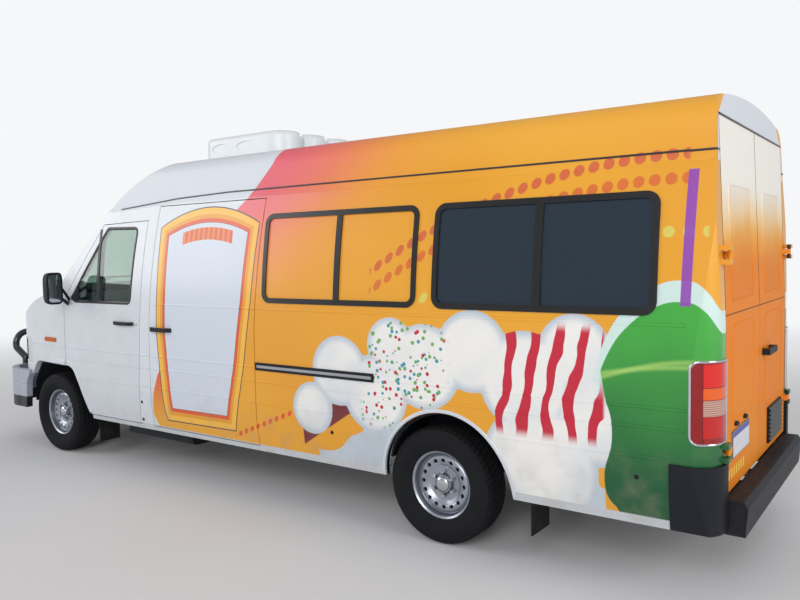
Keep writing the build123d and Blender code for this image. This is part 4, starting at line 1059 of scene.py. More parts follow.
def dress(nodes: dict[str, Object]) -> Shop:
    """Make every material and put it on the carried-over nodes.

    Args:
        nodes: The frame's nodes by name.

    Returns:
        A shop with all materials in stock.
    """
    stock = {key: finish.material() for key, finish in FINISHES.items()}
    stock |= {skin.name.lower(): Wrap().panel(skin) for skin in Skin}
    stock |= {"rear_skin": rear_door_skin(), "tail": tail_lens(), "lens": head_lens(), "plate": blank_plate(),
              "bumper": bumper_skin()}
    for key, names in WORN.items():
        for name in {name.format(side=side, end=end) for name in names.split() for side in ("left", "right")
                     for end in ("front", "rear")}:
            slots = nodes[name].data.materials
            for at in range(len(slots)):
                slots[at] = stock[key]
            if not len(slots):
                slots.append(stock[key])
            log.info("%s wears %s", name, stock[key].name)
    return Shop(stock)


# Sub-assemblies

@dataclass
class Fitting:
    """A group of pieces from one shop."""

    shop: Shop


@dataclass
class RoadWheel(Fitting):
    """A tyre with its tread, a pressed wheel, and the hub's cap and nuts, about an axle centre."""

    end: str
    side: str
    tread_blocks: int = 60
    groove_depth: float = 0.008

    def build(self) -> None:
        """Make the tyre, the cap with its nuts and the wheel."""
        hand = 1 if self.side == "left" else -1
        x = WHEELBASE if self.end == "front" else 0.0
        centre = (x + AXLE_X, hand * TRACK_HALF, TYRE_RADIUS)
        name = f"{self.end}_{self.side}"
        body = f"{name}_wheel"
        self.shop.stock[body] = wheel_paint(name, x)
        cap, rim = (moved(shape, centre, (1, hand, 1)) for shape in (self.cap(), self.rim()))
        self.shop.make(f"{name}_tread_tyre", moved(self.tyre(), centre), "tyre", "tyre", body, 50, f"{name}_tyre")
        self.shop.make(f"{name}_hub_cap_and_nuts", cap, "wheel_paint", "chrome", body)
        self.shop.make(f"{name}_steel_wheel", rim, "wheel_paint", body, body, 32, body)

    def rim(self) -> Shape:
        """Pressed steel wheel: a closed profile (radius r, axial a) turned through a full circle.

        Sixteen round vents are pressed in where d = |(r cos u - 0.140, r sin u)| < 0.0118, with u the angle from the
        nearest vent, by a smooth step 16 mm deep.

        Returns:
            Vertices and faces about the wheel centre.
        """
        back = [(0.0605, 0.026), (0.084, 0.024), (0.106, 0.028), (0.150, 0.028), (0.1765, 0.026), (0.1695, 0.020),
                (0.1695, -0.028), (0.1855, -0.044), (0.1855, -0.074), (0.2075, -0.078), (0.2080, -0.074),
                (0.1905, -0.068), (0.1905, -0.042), (0.1745, -0.024), (0.1745, 0.024), (0.1905, 0.040),
                (0.1905, 0.066), (0.2070, 0.0705)]
        face = [(0.2082, 0.0745), (0.2070, 0.0780), (0.2040, 0.0785), (0.1995, 0.0765), (0.1955, 0.0720),
                (0.1890, 0.0690), (0.1865, 0.0620), (0.1850, 0.0500), (0.1815, 0.0420), (0.1790, 0.0370),
                (0.1755, 0.0350), (0.1720, 0.0375), (0.1660, 0.0440), (0.1590, 0.0480)]
        band_r = np.linspace(0.1550, 0.1250, 22)
        band = np.stack([band_r, 0.0495 - 0.0035 * ((band_r - 0.146) / 0.014) ** 2], -1)
        bowl = [(0.1215, 0.0425), (0.1170, 0.0395), (0.1080, 0.0330), (0.1000, 0.0295), (0.0900, 0.0290),
                (0.0640, 0.0290), (0.0590, 0.0330), (0.0560, 0.0430), (0.0530, 0.0500), (0.0490, 0.0520),
                (0.0310, 0.0520), (0.0310, 0.0080), (0.0580, 0.0080)]
        profile = np.vstack([back, face, band, bowl])
        t = np.linspace(0, TAU, 192, endpoint=False)
        radius, axial = profile[:, :1] + 0 * t, profile[:, 1:] + 0 * t
        u = np.mod(t + math.pi / 16, math.pi / 8) - math.pi / 16
        share = np.clip((0.0118 - np.hypot(radius * np.cos(u) - 0.140, radius * np.sin(u))) / 0.0024, 0, 1)
        front = np.arange(len(profile))[:, None] >= len(back) + len(face)
        axial = axial - np.where(front, 0.016 * share ** 2 * (3 - 2 * share), 0)
        return grid(np.stack([radius * np.cos(t), axial, radius * np.sin(t)], -1), wrap_rows=True, wrap_columns=True)

    def tyre(self) -> Shape:
        """Tyre surface about the wheel centre.

        The profile (axial a, radius r) is an oval side wall with raised rings and a tread whose radius drops by the
        groove depth where |a| is near one of four circles or where the slanted sine of the angle is near its crest:
        r(a, t) = R - depth * max(circle(a), cross(n t + 60 a)).

        Returns:
            Vertices and faces.
        """
        rise = np.linspace(0, 1, 30)
        wall_r = 0.2045 + (0.333 - 0.2045) * rise
        wall_a = 0.080 + 0.034 * np.sin(math.pi * (rise * 0.80 + 0.02)) ** 0.9 + 0.0020 * np.sin(rise * 40)
        tread_a = 0.096 * np.linspace(-1, 1, 25)
        tread_r = TYRE_RADIUS - 0.013 * np.clip((np.abs(tread_a) - 0.070) / 0.026, 0, 1) ** 2
        a = np.concatenate([[-0.068, -0.072], -wall_a, tread_a, wall_a[::-1], [0.072, 0.068]])
        r = np.concatenate([[0.1945, 0.197], wall_r, tread_r, wall_r[::-1], [0.197, 0.1945]])
        t = np.linspace(0, TAU, self.tread_blocks * 6, endpoint=False)
        circles = np.max([np.exp(-((a - c) / 0.0042) ** 4) for c in (-0.052, -0.018, 0.018, 0.052)], 0)
        cross = np.clip(np.sin(self.tread_blocks * t[None] + 60 * a[:, None]) * 4 - 2.6, 0, 1)
        on_tread = (r > 0.331) & (np.abs(a) < 0.099)
        radius = r[:, None] - np.where(on_tread[:, None], np.maximum(circles[:, None], cross), 0) * self.groove_depth
        points = np.stack([radius * np.sin(t), a[:, None] + 0 * t, radius * np.cos(t)], -1)
        return grid(points, wrap_rows=True, wrap_columns=True)

    def cap(self) -> Shape:
        """Turned centre cap and six hexagonal nuts, about the wheel centre."""
        cap = turned([(0.0305, 0.046), (0.046, 0.052), (0.046, 0.060), (0.042, 0.066), (0.030, 0.070),
                      (0.012, 0.073), (0.0001, 0.0735)], 48)
        nut = turned([(0.0125, 0.034), (0.0125, 0.058), (0.010, 0.061), (0.0001, 0.062)], 6)
        t = (np.arange(6) + 0.5) * math.pi / 3
        return together(cap, repeated(nut, np.stack([0.072 * np.cos(t), 0 * t, -0.072 * np.sin(t)], -1)))


@dataclass
class Pressings(Fitting):
    """Raised lines pressed into the flanks and doors, and the turned lips of the wheel arches.

    A table of lines gives, for each height, the start and end station of each ridge.
    """

    wall: tuple = ((0.705, -1.325, -0.370), (0.705, 0.245, 1.444), (0.852, -1.412, 1.445), (0.950, -1.412, 0.418),
                   (1.350, -1.405, 1.432))
    slider: tuple = ((0.705, 1.466, 2.606), (0.852, 1.466, 2.602), (0.950, 1.466, 2.600), (1.350, 1.453, 2.576))
    door: tuple = ((0.705, 2.772, 3.590), (0.852, 2.763, 3.774), (0.950, 2.756, 3.774))
    wing: tuple = ((0.950, 3.794, 4.395), (0.705, 2.630, 2.756), (0.852, 2.626, 2.748), (0.950, 2.622, 2.742))
    front_arch: tuple = ((3.445, 0.300), (3.600, 0.640), (3.695, 0.790), (4.295, 0.800), (4.465, 0.600), (4.497, 0.300))

    def build(self) -> None:
        """Make the lines, the lips and the door panels."""
        self.shop.pair("wall_pressings", self.lines(self.wall), "body_paint", "flank")
        self.shop.pair("sliding_door_pressings", self.lines(self.slider), "body_paint", "flank")
        self.shop.pair("front_door_pressings", self.lines(self.door), "body_paint", "white", "{side}_front_door")
        self.shop.pair("wing_pressings", self.lines(self.wing), "body_paint", "white")
        self.arches()
        self.rear_panels()

    def lines(self, table: Table) -> Shape:
        """Low round ridges on the flank at the table's heights and stations."""
        return together(*[
            carried(lip_profile(0.018, 0.0030, 0.002, 7),
                    on_flank(np.linspace(start, end, max(8, int((end - start) / 0.02))), level), (0, 1, 0))
            for level, start, end in table])

    def lip(self, line: np.ndarray, width: float) -> Shape:
        """A turned lip along a line in x and z, shifted outwards by its own half width."""
        ahead = np.gradient(line, axis=0)
        ahead /= np.linalg.norm(ahead, axis=1)[:, None]
        line = line + (width / 2 + 0.0005) * np.stack([-ahead[:, 1], ahead[:, 0]], -1)
        return carried(lip_profile(width, 0.007, 0.003), on_flank(line[:, 0], line[:, 1]), (0, 1, 0))

    def arches(self) -> None:
        """Front lips follow the arch's rounded outline; rear lips are an ellipse (0.433 cos t, 0.448 sin t)."""
        line = rounded_loop(self.front_arch, (0.01, 0.13, 0.13, 0.13, 0.13, 0.01), 0.012)
        line = line[line[:, 1] > 0.40]
        on_door = line[:, 0] < 3.770
        on_wing = (line[:, 0] > 3.800) & (line[:, 0] < 4.43)
        t = np.linspace(math.pi - 0.07, 0.07, 90)
        rear = np.stack([-0.061 + 0.433 * np.cos(t), 0.345 + 0.448 * np.sin(t)], -1)
        for name, path, width, body in (("door_arch_lip", line[on_door], 0.044, "{side}_front_door"),
                                        ("wing_arch_lip", line[on_wing], 0.044, "truck"),
                                        ("rear_arch_lip", rear, 0.022, "truck")):
            self.shop.pair(name, self.lip(path, width), "body_paint", "white", body)

    def rear_panels(self) -> None:
        """A bead round the upper and the lower panel of each rear door, on its skin that leans forward."""
        for side, hand, low in (("left", 1, 0.860), ("right", -1, 0.800)):
            beads = []
            for bottom, top in ((1.450, 2.020), (low, 1.330)):
                loop = box_loop((0.155, bottom), (0.655, top), 0.050, 0.012)
                path = np.column_stack([REAR_FACE_X + rear_lean(loop[:, 1]), loop])
                beads.append(carried(lip_profile(0.013, 0.0035, 0.002, 7), path, (-1, 0, 0), True))
            shape = moved(together(*beads), (0, 0, 0), (1, hand, 1))
            self.shop.make(f"{side}_rear_door_panels", shape, "body_paint", "rear_skin", f"{side}_rear_door")


class DoorGaskets(Fitting):
    """Rubber round the front door glass, the bar between its panes, and the line of the roof seam."""

    def build(self) -> None:
        """Make each for both sides."""
        loop = rounded_loop([(2.853, 1.349), (2.800, 1.942), (3.200, 1.950), (3.690, 1.349)], 0.040, 0.012)
        gasket = carried(lip_profile(0.026, 0.007, 0.004), on_flank(loop[:, 0], loop[:, 1], -0.004), (0, 1, 0), True)
        self.shop.pair("door_glass_gasket", gasket, "black_frame", "frame", "{side}_front_door")
        bar = carried(lip_profile(0.036, 0.004, 0.002, 7), on_flank(3.290, np.linspace(1.352, 1.946, 40), -0.001),
                      (0, 1, 0))
        self.shop.pair("glass_bar", bar, "black_frame", "frame", "{side}_front_door")
        x = np.linspace(-1.45, 3.05, 160)
        z = np.interp(x, (-1.2, 1.8, 2.35, 3.06), (2.170, 2.166, 2.150, 2.100))
        corner, normal = corner_point(np.linspace(0.236, -0.02, 24), np.full(24, 2.168), 0.0)
        outward = np.concatenate([normal, np.broadcast_to((0.0, 1.0, 0.0), (len(x) - 2, 3))])
        seam = carried(lip_profile(0.011, 0.006, 0.003), np.concatenate([corner, on_flank(x, z)[2:]]), outward)
        self.shop.pair("roof_moulding", seam, "roof_paint", "tube")


class RearEnd(Fitting):
    """Edging of the tail lamps, vent louvres, step ribs and ends, plate lamps and the seal over the doors."""

    def build(self) -> None:
        """Make the rear fittings."""
        self.lamp_edges()
        self.louvres()
        self.step()
        hood = turned([(0.016, -0.002), (0.016, 0.006), (0.014, 0.012), (0.010, 0.0155), (0.0001, 0.016)], 24, "x")
        hood = (hood[0] * (-1, 1.9, 0.75), hood[1][:, ::-1])
        self.shop.make("number_plate_lamps", repeated(hood, [(REAR_FACE_X, 0.375, 0.835), (REAR_FACE_X, 0.575, 0.835)]),
                       "black_plastic", "black", "left_rear_door")
        y, z = np.linspace(-0.79, 0.79, 80), np.full(80, 2.338)
        path = np.stack([REAR_FACE_X + rear_lean(z) - 0.0005, y, z], -1)
        self.shop.make("rear_door_head_seal", carried(lip_profile(0.012, 0.004, 0.004, 7), path, (-1, 0, 0)),
                       "black_plastic", "frame")

    def lamp_edges(self) -> None:
        """A pale gasket round each tail lamp, along its outline in x and z carried over to the corner surface."""
        t = np.linspace(0, math.pi / 2, 12)
        x = np.concatenate([np.linspace(-1.550, -1.474, 10), -1.472 + 0.040 * np.sin(t)])
        z = np.concatenate([np.full(10, 0.796), 0.836 - 0.040 * np.cos(t)])
        s = CORNER_R * np.arcsin(np.clip((CORNER_X - x) / CORNER_R, 0, 1))
        lower = np.stack([np.concatenate([[0.236, 0.220], s]), np.concatenate([[0.796, 0.796], z])], -1)
        upper = np.stack([lower[::-1, 0], 1.981 - lower[::-1, 1]], -1)
        line = even(np.concatenate([lower, upper]), 0.008, closed=True)
        path, normal = corner_point(line[:, 0], line[:, 1], 0.004)
        self.shop.pair("tail_lamp_edge", carried(lip_profile(0.012, 0.007, 0.004, 7), path, normal, True),
                       "body_paint", "chrome")

    def louvres(self) -> None:
        """Eight slanted slats on the vent of the right rear door, each a leaning arch carried sideways."""
        y = np.linspace(-0.622, -0.242, 20)
        path = np.stack([np.full(20, REAR_FACE_X - 0.0125), y, 0 * y], -1)
        profile = np.array([(0.000, -0.010), (0.007, -0.008), (0.010, -0.004), (0.006, 0.002), (0.000, 0.010)])
        slats = repeated(carried(profile, path, (-1, 0, 0)), [(0, 0, z) for z in np.linspace(0.578, 0.752, 8)])
        self.shop.make("vent_louvres", slats, "black_plastic", "frame", "right_rear_door")

    def step(self) -> None:
        """Low ribs across the step's tread, and moulded ends that close the hollow step."""
        y = np.linspace(-0.770, 0.770, 60)
        rib = carried(lip_profile(0.006, 0.003, 0.001, 5), np.stack([0 * y, y, np.full(60, 0.507)], -1), (0, 0, 1))
        places = [(x, 0, 0) for x in np.linspace(REAR_FACE_X - 0.076, REAR_FACE_X - 0.014, 6)]
        self.shop.make("step_ribs", repeated(rib, places), "black_plastic", "black")
        outline = rounded_loop([(-3.2615, 0.5065), (-3.3480, 0.5065), (-3.3675, 0.4770), (-3.3560, 0.3360),
                                (-3.2615, 0.3360)], (0.006, 0.012, 0.014, 0.02, 0.006), 0.006)
        end = moulding(outline, (1.0, 1.0, 0.985, 0.95, 0.90, 0.86, 0.80, 0.001),
                       (-0.020, 0.000, 0.0025, 0.0035, 0.0035, 0.0015, 0.0015, 0.0015),
                       lambda u, v, h: (u, 0.7885 + h, v))
        self.shop.make("step_ends", together(end, mirrored(end)), "black_plastic", "black")


class SideFittings(Fitting):
    """Window screws, mirrors, handles, locks, the rail's channel and plugs."""

    def build(self) -> None:
        """Make the side fittings."""
        spots = even(box_loop((-1.259, 1.408), (-0.013, 1.974), 0.053, 0.004), 0.09, closed=True)
        t = np.linspace(0, math.pi / 2, 4)[::-1]
        head = turned(np.stack([np.maximum(0.0045 * np.cos(t), 1e-5), 0.0030 * np.sin(t)], -1), 10)
        self.shop.make("serving_window_screws", repeated(head, on_flank(spots[:, 0], spots[:, 1], 0.0075)),
                       "black_frame", "iron")
        self.mirrors()
        profile = [(0.0001, 0.004), (0.004, 0.005), (0.010, 0.005), (0.0125, 0.003), (0.0125, -0.003)]
        lock = turned(profile, 24, "y", on_flank(2.775, 1.19))
        self.shop.pair("door_lock", lock, "black_plastic", "chrome", "{side}_front_door")
        channel = np.array([(-0.001, -0.0095), (0.0022, -0.0090), (0.0022, -0.0060), (0.0006, -0.0050),
                            (0.0006, 0.0050), (0.0022, 0.0060), (0.0022, 0.0090), (-0.001, 0.0095)])
        rail = carried(channel, on_flank(np.linspace(0.440, 1.428, 50), 0.9555, 0.008), (0, 1, 0))
        self.shop.make("sliding_rail_channel", rail, "bumper_plastic", "steel", sharp=30)
        spots = np.array([(0.772, 0.578), (-1.182, 0.602), (2.741, 0.576), (2.752, 0.435)])
        plug = turned([(0.0125, -0.002), (0.0125, 0.002), (0.010, 0.0035), (0.004, 0.0030), (0.0001, 0.0028)], 20)
        self.shop.make("flank_plugs", repeated(plug, on_flank(spots[:, 0], spots[:, 1])), "black_plastic", "black")

    def mirrors(self) -> None:
        """Mirror housings, arms and sails and the front door handles, in place of the plain solids, and the glass."""
        arms = together(self.rod((3.735, 0.945, 1.318), (3.655, 1.090, 1.385), 0.015),
                        self.rod((3.712, 0.945, 1.345), (3.650, 1.090, 1.500), 0.012))
        loop = rounded_loop([(3.563, 1.357), (3.692, 1.357), (3.563, 1.512)], (0.014, 0.020, 0.02), 0.008)
        sail = moulding(loop, (1.0, 1.0, 0.96, 0.90, 0.001), (-0.004, 0.004, 0.008, 0.010, 0.012), on_flank)
        handle = carried(oval(0.009, 0.014, 0.6, 20),
                         on_flank(np.linspace(2.808, 3.050, 40), 1.190, 0.004 + 0.026 * bow()[1]), (0, 1, 0))
        share = np.linspace(1, 0.001, 8)
        glass = moulding(box_loop((1.091, 1.354), (1.199, 1.581), 0.026), share, -0.003 * (1 - share ** 2),
                         lambda u, v, h: (AXLE_X + 3.5955 + h, u, v))
        for name, shape in (("mirror_housing", self.housing()), ("mirror_arms", arms), ("mirror_sail", sail),
                            ("door_handle", handle)):
            self.shop.pair(name, shape, "black_plastic", "black", "{side}_front_door", 50,
                           "{side}_door_mirror_and_handle")
        self.shop.pair("mirror_glass", glass, "clear_glass", "mirror", "{side}_front_door")

    def housing(self) -> Shape:
        """Mirror housing: a superellipse |y/0.070|^5 + |z/0.132|^5 = 1 whose rings narrow towards the front.

        The rings go from the glass's rim, set back 4 mm inside the edge, over the edge and round to the front.
        """
        ahead = (0.0040, 0.0040, 0.0005, 0.0005, 0.0040, 0.020, 0.045, 0.068, 0.084, 0.094, 0.099, 0.100)
        width = (0.001, 0.88, 0.90, 0.965, 1.0, 1.0, 0.985, 0.94, 0.84, 0.66, 0.40, 0.001)
        return moulding(oval(0.070, 0.132, 0.4, 72), width, ahead,
                        lambda u, v, h: (AXLE_X + 3.5945 + h, 1.145 + u, 1.4675 + v))

    def rod(self, start: Sequence[float], end: Sequence[float], radius: float) -> Shape:
        """A slightly bowed round arm between two points."""
        s = np.linspace(0, 1, 20)[:, None]
        a, b = np.array(start) + (AXLE_X, 0, 0), np.array(end) + (AXLE_X, 0, 0)
        return carried(oval(radius, radius), a + (b - a) * s + np.array([0, 0, 0.010]) * np.sin(math.pi * s), (1, 0, 0))


class Screen(Fitting):
    """Gasket and wipers of the windscreen."""

    def build(self) -> None:
        """Make the gasket and both wipers."""
        loop = rounded_loop([(-0.800, 1.482), (0.800, 1.482), (0.712, 2.046), (-0.712, 2.046)], 0.060, 0.012)
        path, normal = screen_point(loop[:, 0], loop[:, 1], -0.003)
        self.shop.make("windscreen_gasket", carried(lip_profile(0.026, 0.008, 0.004), path, normal, True),
                       "black_frame", "frame")
        for name, foot, tip in (("driver", -0.10, -0.62), ("passenger", 0.55, 0.05)):
            self.shop.make(f"{name}_wiper", self.wiper(foot, tip), "black_plastic", "black")

    def wiper(self, foot: float, tip: float) -> Shape:
        """An arm on a pivot cap and a blade parked along the foot of the screen.

        Args:
            foot: Sideways place of the pivot.
            tip: Sideways place of the blade's far end.

        Returns:
            Vertices and faces.
        """
        t, middle = np.linspace(0, 1, 30), (foot + tip) / 2
        path, normal = screen_point(foot + (middle - foot) * t, 1.462 + 0.062 * t, 0.012)
        arm = carried(lip_profile(0.014, 0.008, 0.002, 7), path, normal)
        y = np.linspace(tip, foot - 0.08 * np.sign(foot - tip), 50)
        path, normal = screen_point(y, 1.520 + 0.008 * np.cos((y - middle) * 4), 0.0015)
        rubber = np.array([(0.0, -0.003), (0.010, -0.006), (0.018, -0.003), (0.018, 0.003), (0.010, 0.006),
                           (0.0, 0.003)])
        return together(arm, carried(rubber, path, normal))


@dataclass(frozen=True)
class Pad:
    """One upholstered pad: a rounded block about a centre, leaned about the sideways axis, with sewn channels."""

    name: str
    centre: tuple[float, float, float]
    half: tuple[float, float, float]
    lean: float = 0.0
    channels: tuple[float, ...] = (-0.09, 0.09)
    swell: float = 0.014
    voxel: float = 0.0085
    frames: int = 20
    pressure: float = 4.0

    def block(self) -> Shape:
        """A superellipsoid with exponent 0.34 in each direction, slightly smaller than the finished pad."""
        u, v = np.linspace(-math.pi / 2, math.pi / 2, 41)[:, None], np.linspace(0, TAU, 80, endpoint=False)[None]
        cu, su, cv, sv = (np.sign(wave) * np.abs(wave) ** 0.34 for wave in (np.cos(u), np.sin(u), np.cos(v), np.sin(v)))
        size = np.array(self.half) - (0.012, 0.012, 0.013)
        return grid(np.stack([cu * cv, cu * sv, su + 0 * v], -1) * size, wrap_columns=True)

    def sewn(self, points: np.ndarray) -> np.ndarray:
        """Channels, a seam near the rim and the lean.

        A channel at c sinks the face by 0.008 exp(-((y - c) / 0.008)^2). A seam sinks it by 0.004 where the outline's
        share is 0.86. The pad is then turned by the lean and moved to its centre.

        Args:
            points: Array (n, 3) about the pad's own centre.

        Returns:
            Array (n, 3) from the rear axle.
        """
        half = np.array(self.half)
        points = np.clip(points, -half, half)
        face = np.clip(points[:, 2] / half[2] * 3 - 1.2, 0, 1)
        inside = np.clip((1 - np.abs(points[:, 0] / half[0])) * 7, 0, 1)
        for channel in self.channels:
            points[:, 2] -= 0.008 * np.exp(-((points[:, 1] - channel) / 0.008) ** 2) * face * inside
        rim = np.max(np.abs(points[:, :2]) / half[:2], 1)
        points[:, 2] -= 0.004 * np.exp(-((rim - 0.86) / 0.016) ** 2) * face
        c, s = math.cos(self.lean), math.sin(self.lean)
        return points @ np.array([[c, 0, s], [0, 1, 0], [-s, 0, c]]).T + self.centre

    def simulate(self) -> Shape:
        """Returns:
            Vertices and quads of the remeshed, inflated and sewn pad.
        """
        made = mesh_object(self.name, self.block())
        remesh = made.modifiers.new("remesh", "REMESH")
        remesh.mode, remesh.voxel_size = "VOXEL", self.voxel
        self.bake(made)
        start = self.read(made)
        cloth = made.modifiers.new("cloth", "CLOTH")
        cloth.settings.use_pressure = True
        cloth.settings.uniform_pressure_force = self.pressure
        cloth.settings.effector_weights.gravity = 0.0
        cloth.settings.quality = 4
        cloth.point_cache.frame_start, cloth.point_cache.frame_end = 1, self.frames
        for frame in range(1, self.frames + 1):
            bpy.context.scene.frame_set(frame)
        self.bake(made)
        bpy.context.scene.frame_set(1)
        grown = self.read(made) - start
        length = np.linalg.norm(grown, axis=1, keepdims=True)
        points = start + grown * np.minimum(1, self.swell / np.maximum(length, 1e-9))
        corners = np.zeros(len(made.data.loops), np.int32)
        made.data.loops.foreach_get("vertex_index", corners)
        bpy.data.objects.remove(made)
        return self.sewn(points) + (AXLE_X, 0, 0), corners.reshape(-1, 4)

    def bake(self, made: Object) -> None:
        """Replace the object's mesh by its evaluated one and drop its modifiers."""
        mesh = bpy.data.meshes.new_from_object(made.evaluated_get(bpy.context.evaluated_depsgraph_get()))
        made.modifiers.clear()
        made.data = mesh

    def read(self, made: Object) -> np.ndarray:
        """Vertex coordinates as an array."""
        points = np.zeros(len(made.data.vertices) * 3, np.float32)
        made.data.vertices.foreach_get("co", points)
        return points.reshape(-1, 3).astype(float)


@dataclass
class CabSeats(Fitting):
    """Two seats of three pads each on their stands."""

    sides: tuple[tuple[str, float], ...] = (("right", -0.430), ("left", 0.430))
    pads: tuple[Pad, ...] = (
        Pad("seat_cushion", (3.150, 0.0, 0.865), (0.250, 0.235, 0.065)),
        Pad("seat_back", (2.922, 0.0, 1.222), (0.318, 0.215, 0.050), math.radians(80.0)),
        Pad("head_rest", (2.855, 0.0, 1.650), (0.090, 0.120, 0.040), math.radians(86.0), (), 0.010))

    def build(self) -> None:
        """Simulate each pad once and set it on both seats, then add the stands."""
        for pad in self.pads:
            shape = pad.simulate()
            for side, y in self.sides:
                made = self.shop.make(f"{side}_{pad.name}", moved(shape, (0, y, 0)), "seat_fabric", "seat", sharp=60,
                                      instead="cab_seats")
                rounding = made.modifiers.new("rounding", "SUBSURF")
                rounding.levels = rounding.render_levels = 1
        stand = self.stand()
        for side, y in self.sides:
            self.shop.make(f"{side}_seat_stand", moved(stand, (0, y, 0)), "black_plastic", "black", sharp=35,
                           instead="cab_seats")

    def stand(self) -> Shape:
        """A waisted box with rounded corners, w(t) = 1 - 0.08 sin(pi t), and the two posts of the head restraint."""
        t = np.linspace(0, 1, 14)
        box = moulding(box_loop((2.962, -0.188), (3.298, 0.188), 0.035, 0.02), 1 - 0.08 * np.sin(math.pi * t),
                       0.532 + 0.272 * t, lambda u, v, h: (u + AXLE_X, v, h))
        s = np.linspace(0, 1, 12)[:, None]
        post = carried(oval(0.007, 0.007, 1, 12), np.array([2.870 + AXLE_X, 0, 1.470]) + (-0.012, 0, 0.145) * s,
                       (1, 0, 0))
        return together(box, repeated(post, [(0, -0.05, 0), (0, 0.05, 0)]))


class CabAndGalley(Fitting):
    """Instruments and vents on the dashboard, the soft-serve machine's details and the counter's doors and edge."""

    def build(self) -> None:
        """Make the cab's and the galley's details."""
        self.dashboard()
        self.soft_serve()
        self.counter()

    def dashboard(self) -> None:
        """A hood, z = 0.062 sin(t)^0.7 over a half circle, drawn back over two dished dials, and slatted vents."""
        t, x = np.linspace(0, math.pi, 24), np.linspace(3.500, 3.640, 10)[:, None]
        grow = 1 - 0.25 * (x - 3.500) / 0.14
        y, z = -0.430 + 0.165 * np.cos(t) * grow, 1.262 + 0.30 * (x - 3.500) + 0.062 * np.sin(t) ** 0.7 * grow
        outer = np.stack([x + 0 * y + AXLE_X, y, z], -1)
        hood = grid(np.concatenate([outer, outer[::-1] - (0, 0, 0.008)]), wrap_rows=True)
        self.shop.make("instrument_hood", hood, "black_plastic", "trim")
        dish = moved(turned([(0.046, 0.0), (0.044, -0.006), (0.038, -0.002), (0.0001, -0.001)], 36, "x"),
                     (0, 0, 0), (-1, 1, 1))
        places = [(3.492 + AXLE_X, y, 1.276) for y in (-0.500, -0.360)]
        self.shop.make("instrument_dials", repeated(dish, places), "black_plastic", "frame")
        y = np.linspace(-0.055, 0.055, 12)
        slat = carried(lip_profile(0.004, 0.006, 0.001, 5), np.stack([np.full(12, 3.489 + AXLE_X), y, 0 * y], -1),
                       (-1, 0, 0))
        spots = [(0, side, height) for side in (-0.70, -0.09, 0.09, 0.70) for height in np.linspace(1.165, 1.225, 6)]
        self.shop.make("dashboard_vents", repeated(slat, spots), "black_plastic", "black")

    def soft_serve(self) -> None:
        """Three turned spouts with levers over a tray, and raised panels, on the machine's face at y = -0.36."""
        spout = turned([(0.0001, -0.030), (0.014, -0.030), (0.018, 0.0), (0.026, 0.010), (0.026, 0.050),
                        (0.020, 0.060), (0.0001, 0.060)], 20, "z")
        s = np.linspace(0, 1, 10)[:, None]
        lever = carried(oval(0.008, 0.008, 1, 12), np.array([0, 0, 0.058]) + s * (0, 0.030, 0.085), (1, 0, 0))
        taps = repeated(together(spout, lever), [(-2.563 + step, -0.328, 1.02) for step in (-0.14, 0.0, 0.14)])
        self.shop.make("soft_serve_taps", taps, "counter_steel", "steel")
        tray = moulding(box_loop((-2.763, -0.358), (-2.363, -0.270), 0.015, 0.012), (0.97, 1.0, 1.0, 0.93, 0.90, 0.001),
                        (0.856, 0.858, 0.880, 0.880, 0.862, 0.862), lambda u, v, h: (u, v, h))
        self.shop.make("soft_serve_tray", tray, "counter_steel", "steel", sharp=30)
        beads = []
        for low, high in ((0.58, 0.80), (0.93, 1.14), (1.18, 1.38)):
            loop = box_loop((-2.830, low), (-2.296, high), 0.020, 0.015)
            path = np.stack([loop[:, 0], np.full(len(loop), -0.360), loop[:, 1]], -1)
            beads.append(carried(lip_profile(0.008, 0.003, 0.001, 5), path, (0, 1, 0), True))
        self.shop.make("soft_serve_panels", together(*beads), "counter_steel", "chrome")

    def counter(self) -> None:
        """Three dished doors with bowed pulls on the counter's inner face, and a rolled edge round its top."""
        x = np.linspace(-2.988, -1.698, 4)
        s, swell = bow(24)
        parts = []
        for start, end in zip(x[:-1] + 0.015, x[1:] - 0.015):
            parts.append(moulding(box_loop((start, 0.590), (end, 1.240), 0.025, 0.015),
                                  (1.0, 1.0, 0.985, 0.90, 0.88, 0.6, 0.3, 0.001),
                                  (-0.001, 0.010, 0.013, 0.013, 0.009, 0.009, 0.009, 0.009),
                                  lambda u, v, h: (u, 0.560 - h, v)))
            path = np.stack([(start + end) / 2 + 0.075 * s, 0.549 - 0.026 * swell, 1.175 + 0 * s], -1)
            parts.append(carried(oval(0.006, 0.006, 1, 12), path, (0, -1, 0)))
        self.shop.make("counter_doors", together(*parts), "counter_steel", "chrome", sharp=30)
        edge = box_loop((-3.041, 0.502), (-1.645, 0.8), 0.012, 0.015)
        away, free = edge - edge.mean(0), edge[:, 1] < 0.79
        order = np.flatnonzero(free)[np.argsort(np.arctan2(away[free, 0], -away[free, 1]))]
        path, outward = (np.column_stack([line[order], np.full(len(order), z)])
                         for line, z in ((edge, 1.308), (away, 0)))
        self.shop.make("counter_edge", carried(lip_profile(0.030, 0.005, 0.001), path, outward), "counter_steel",
                       "chrome", sharp=60)


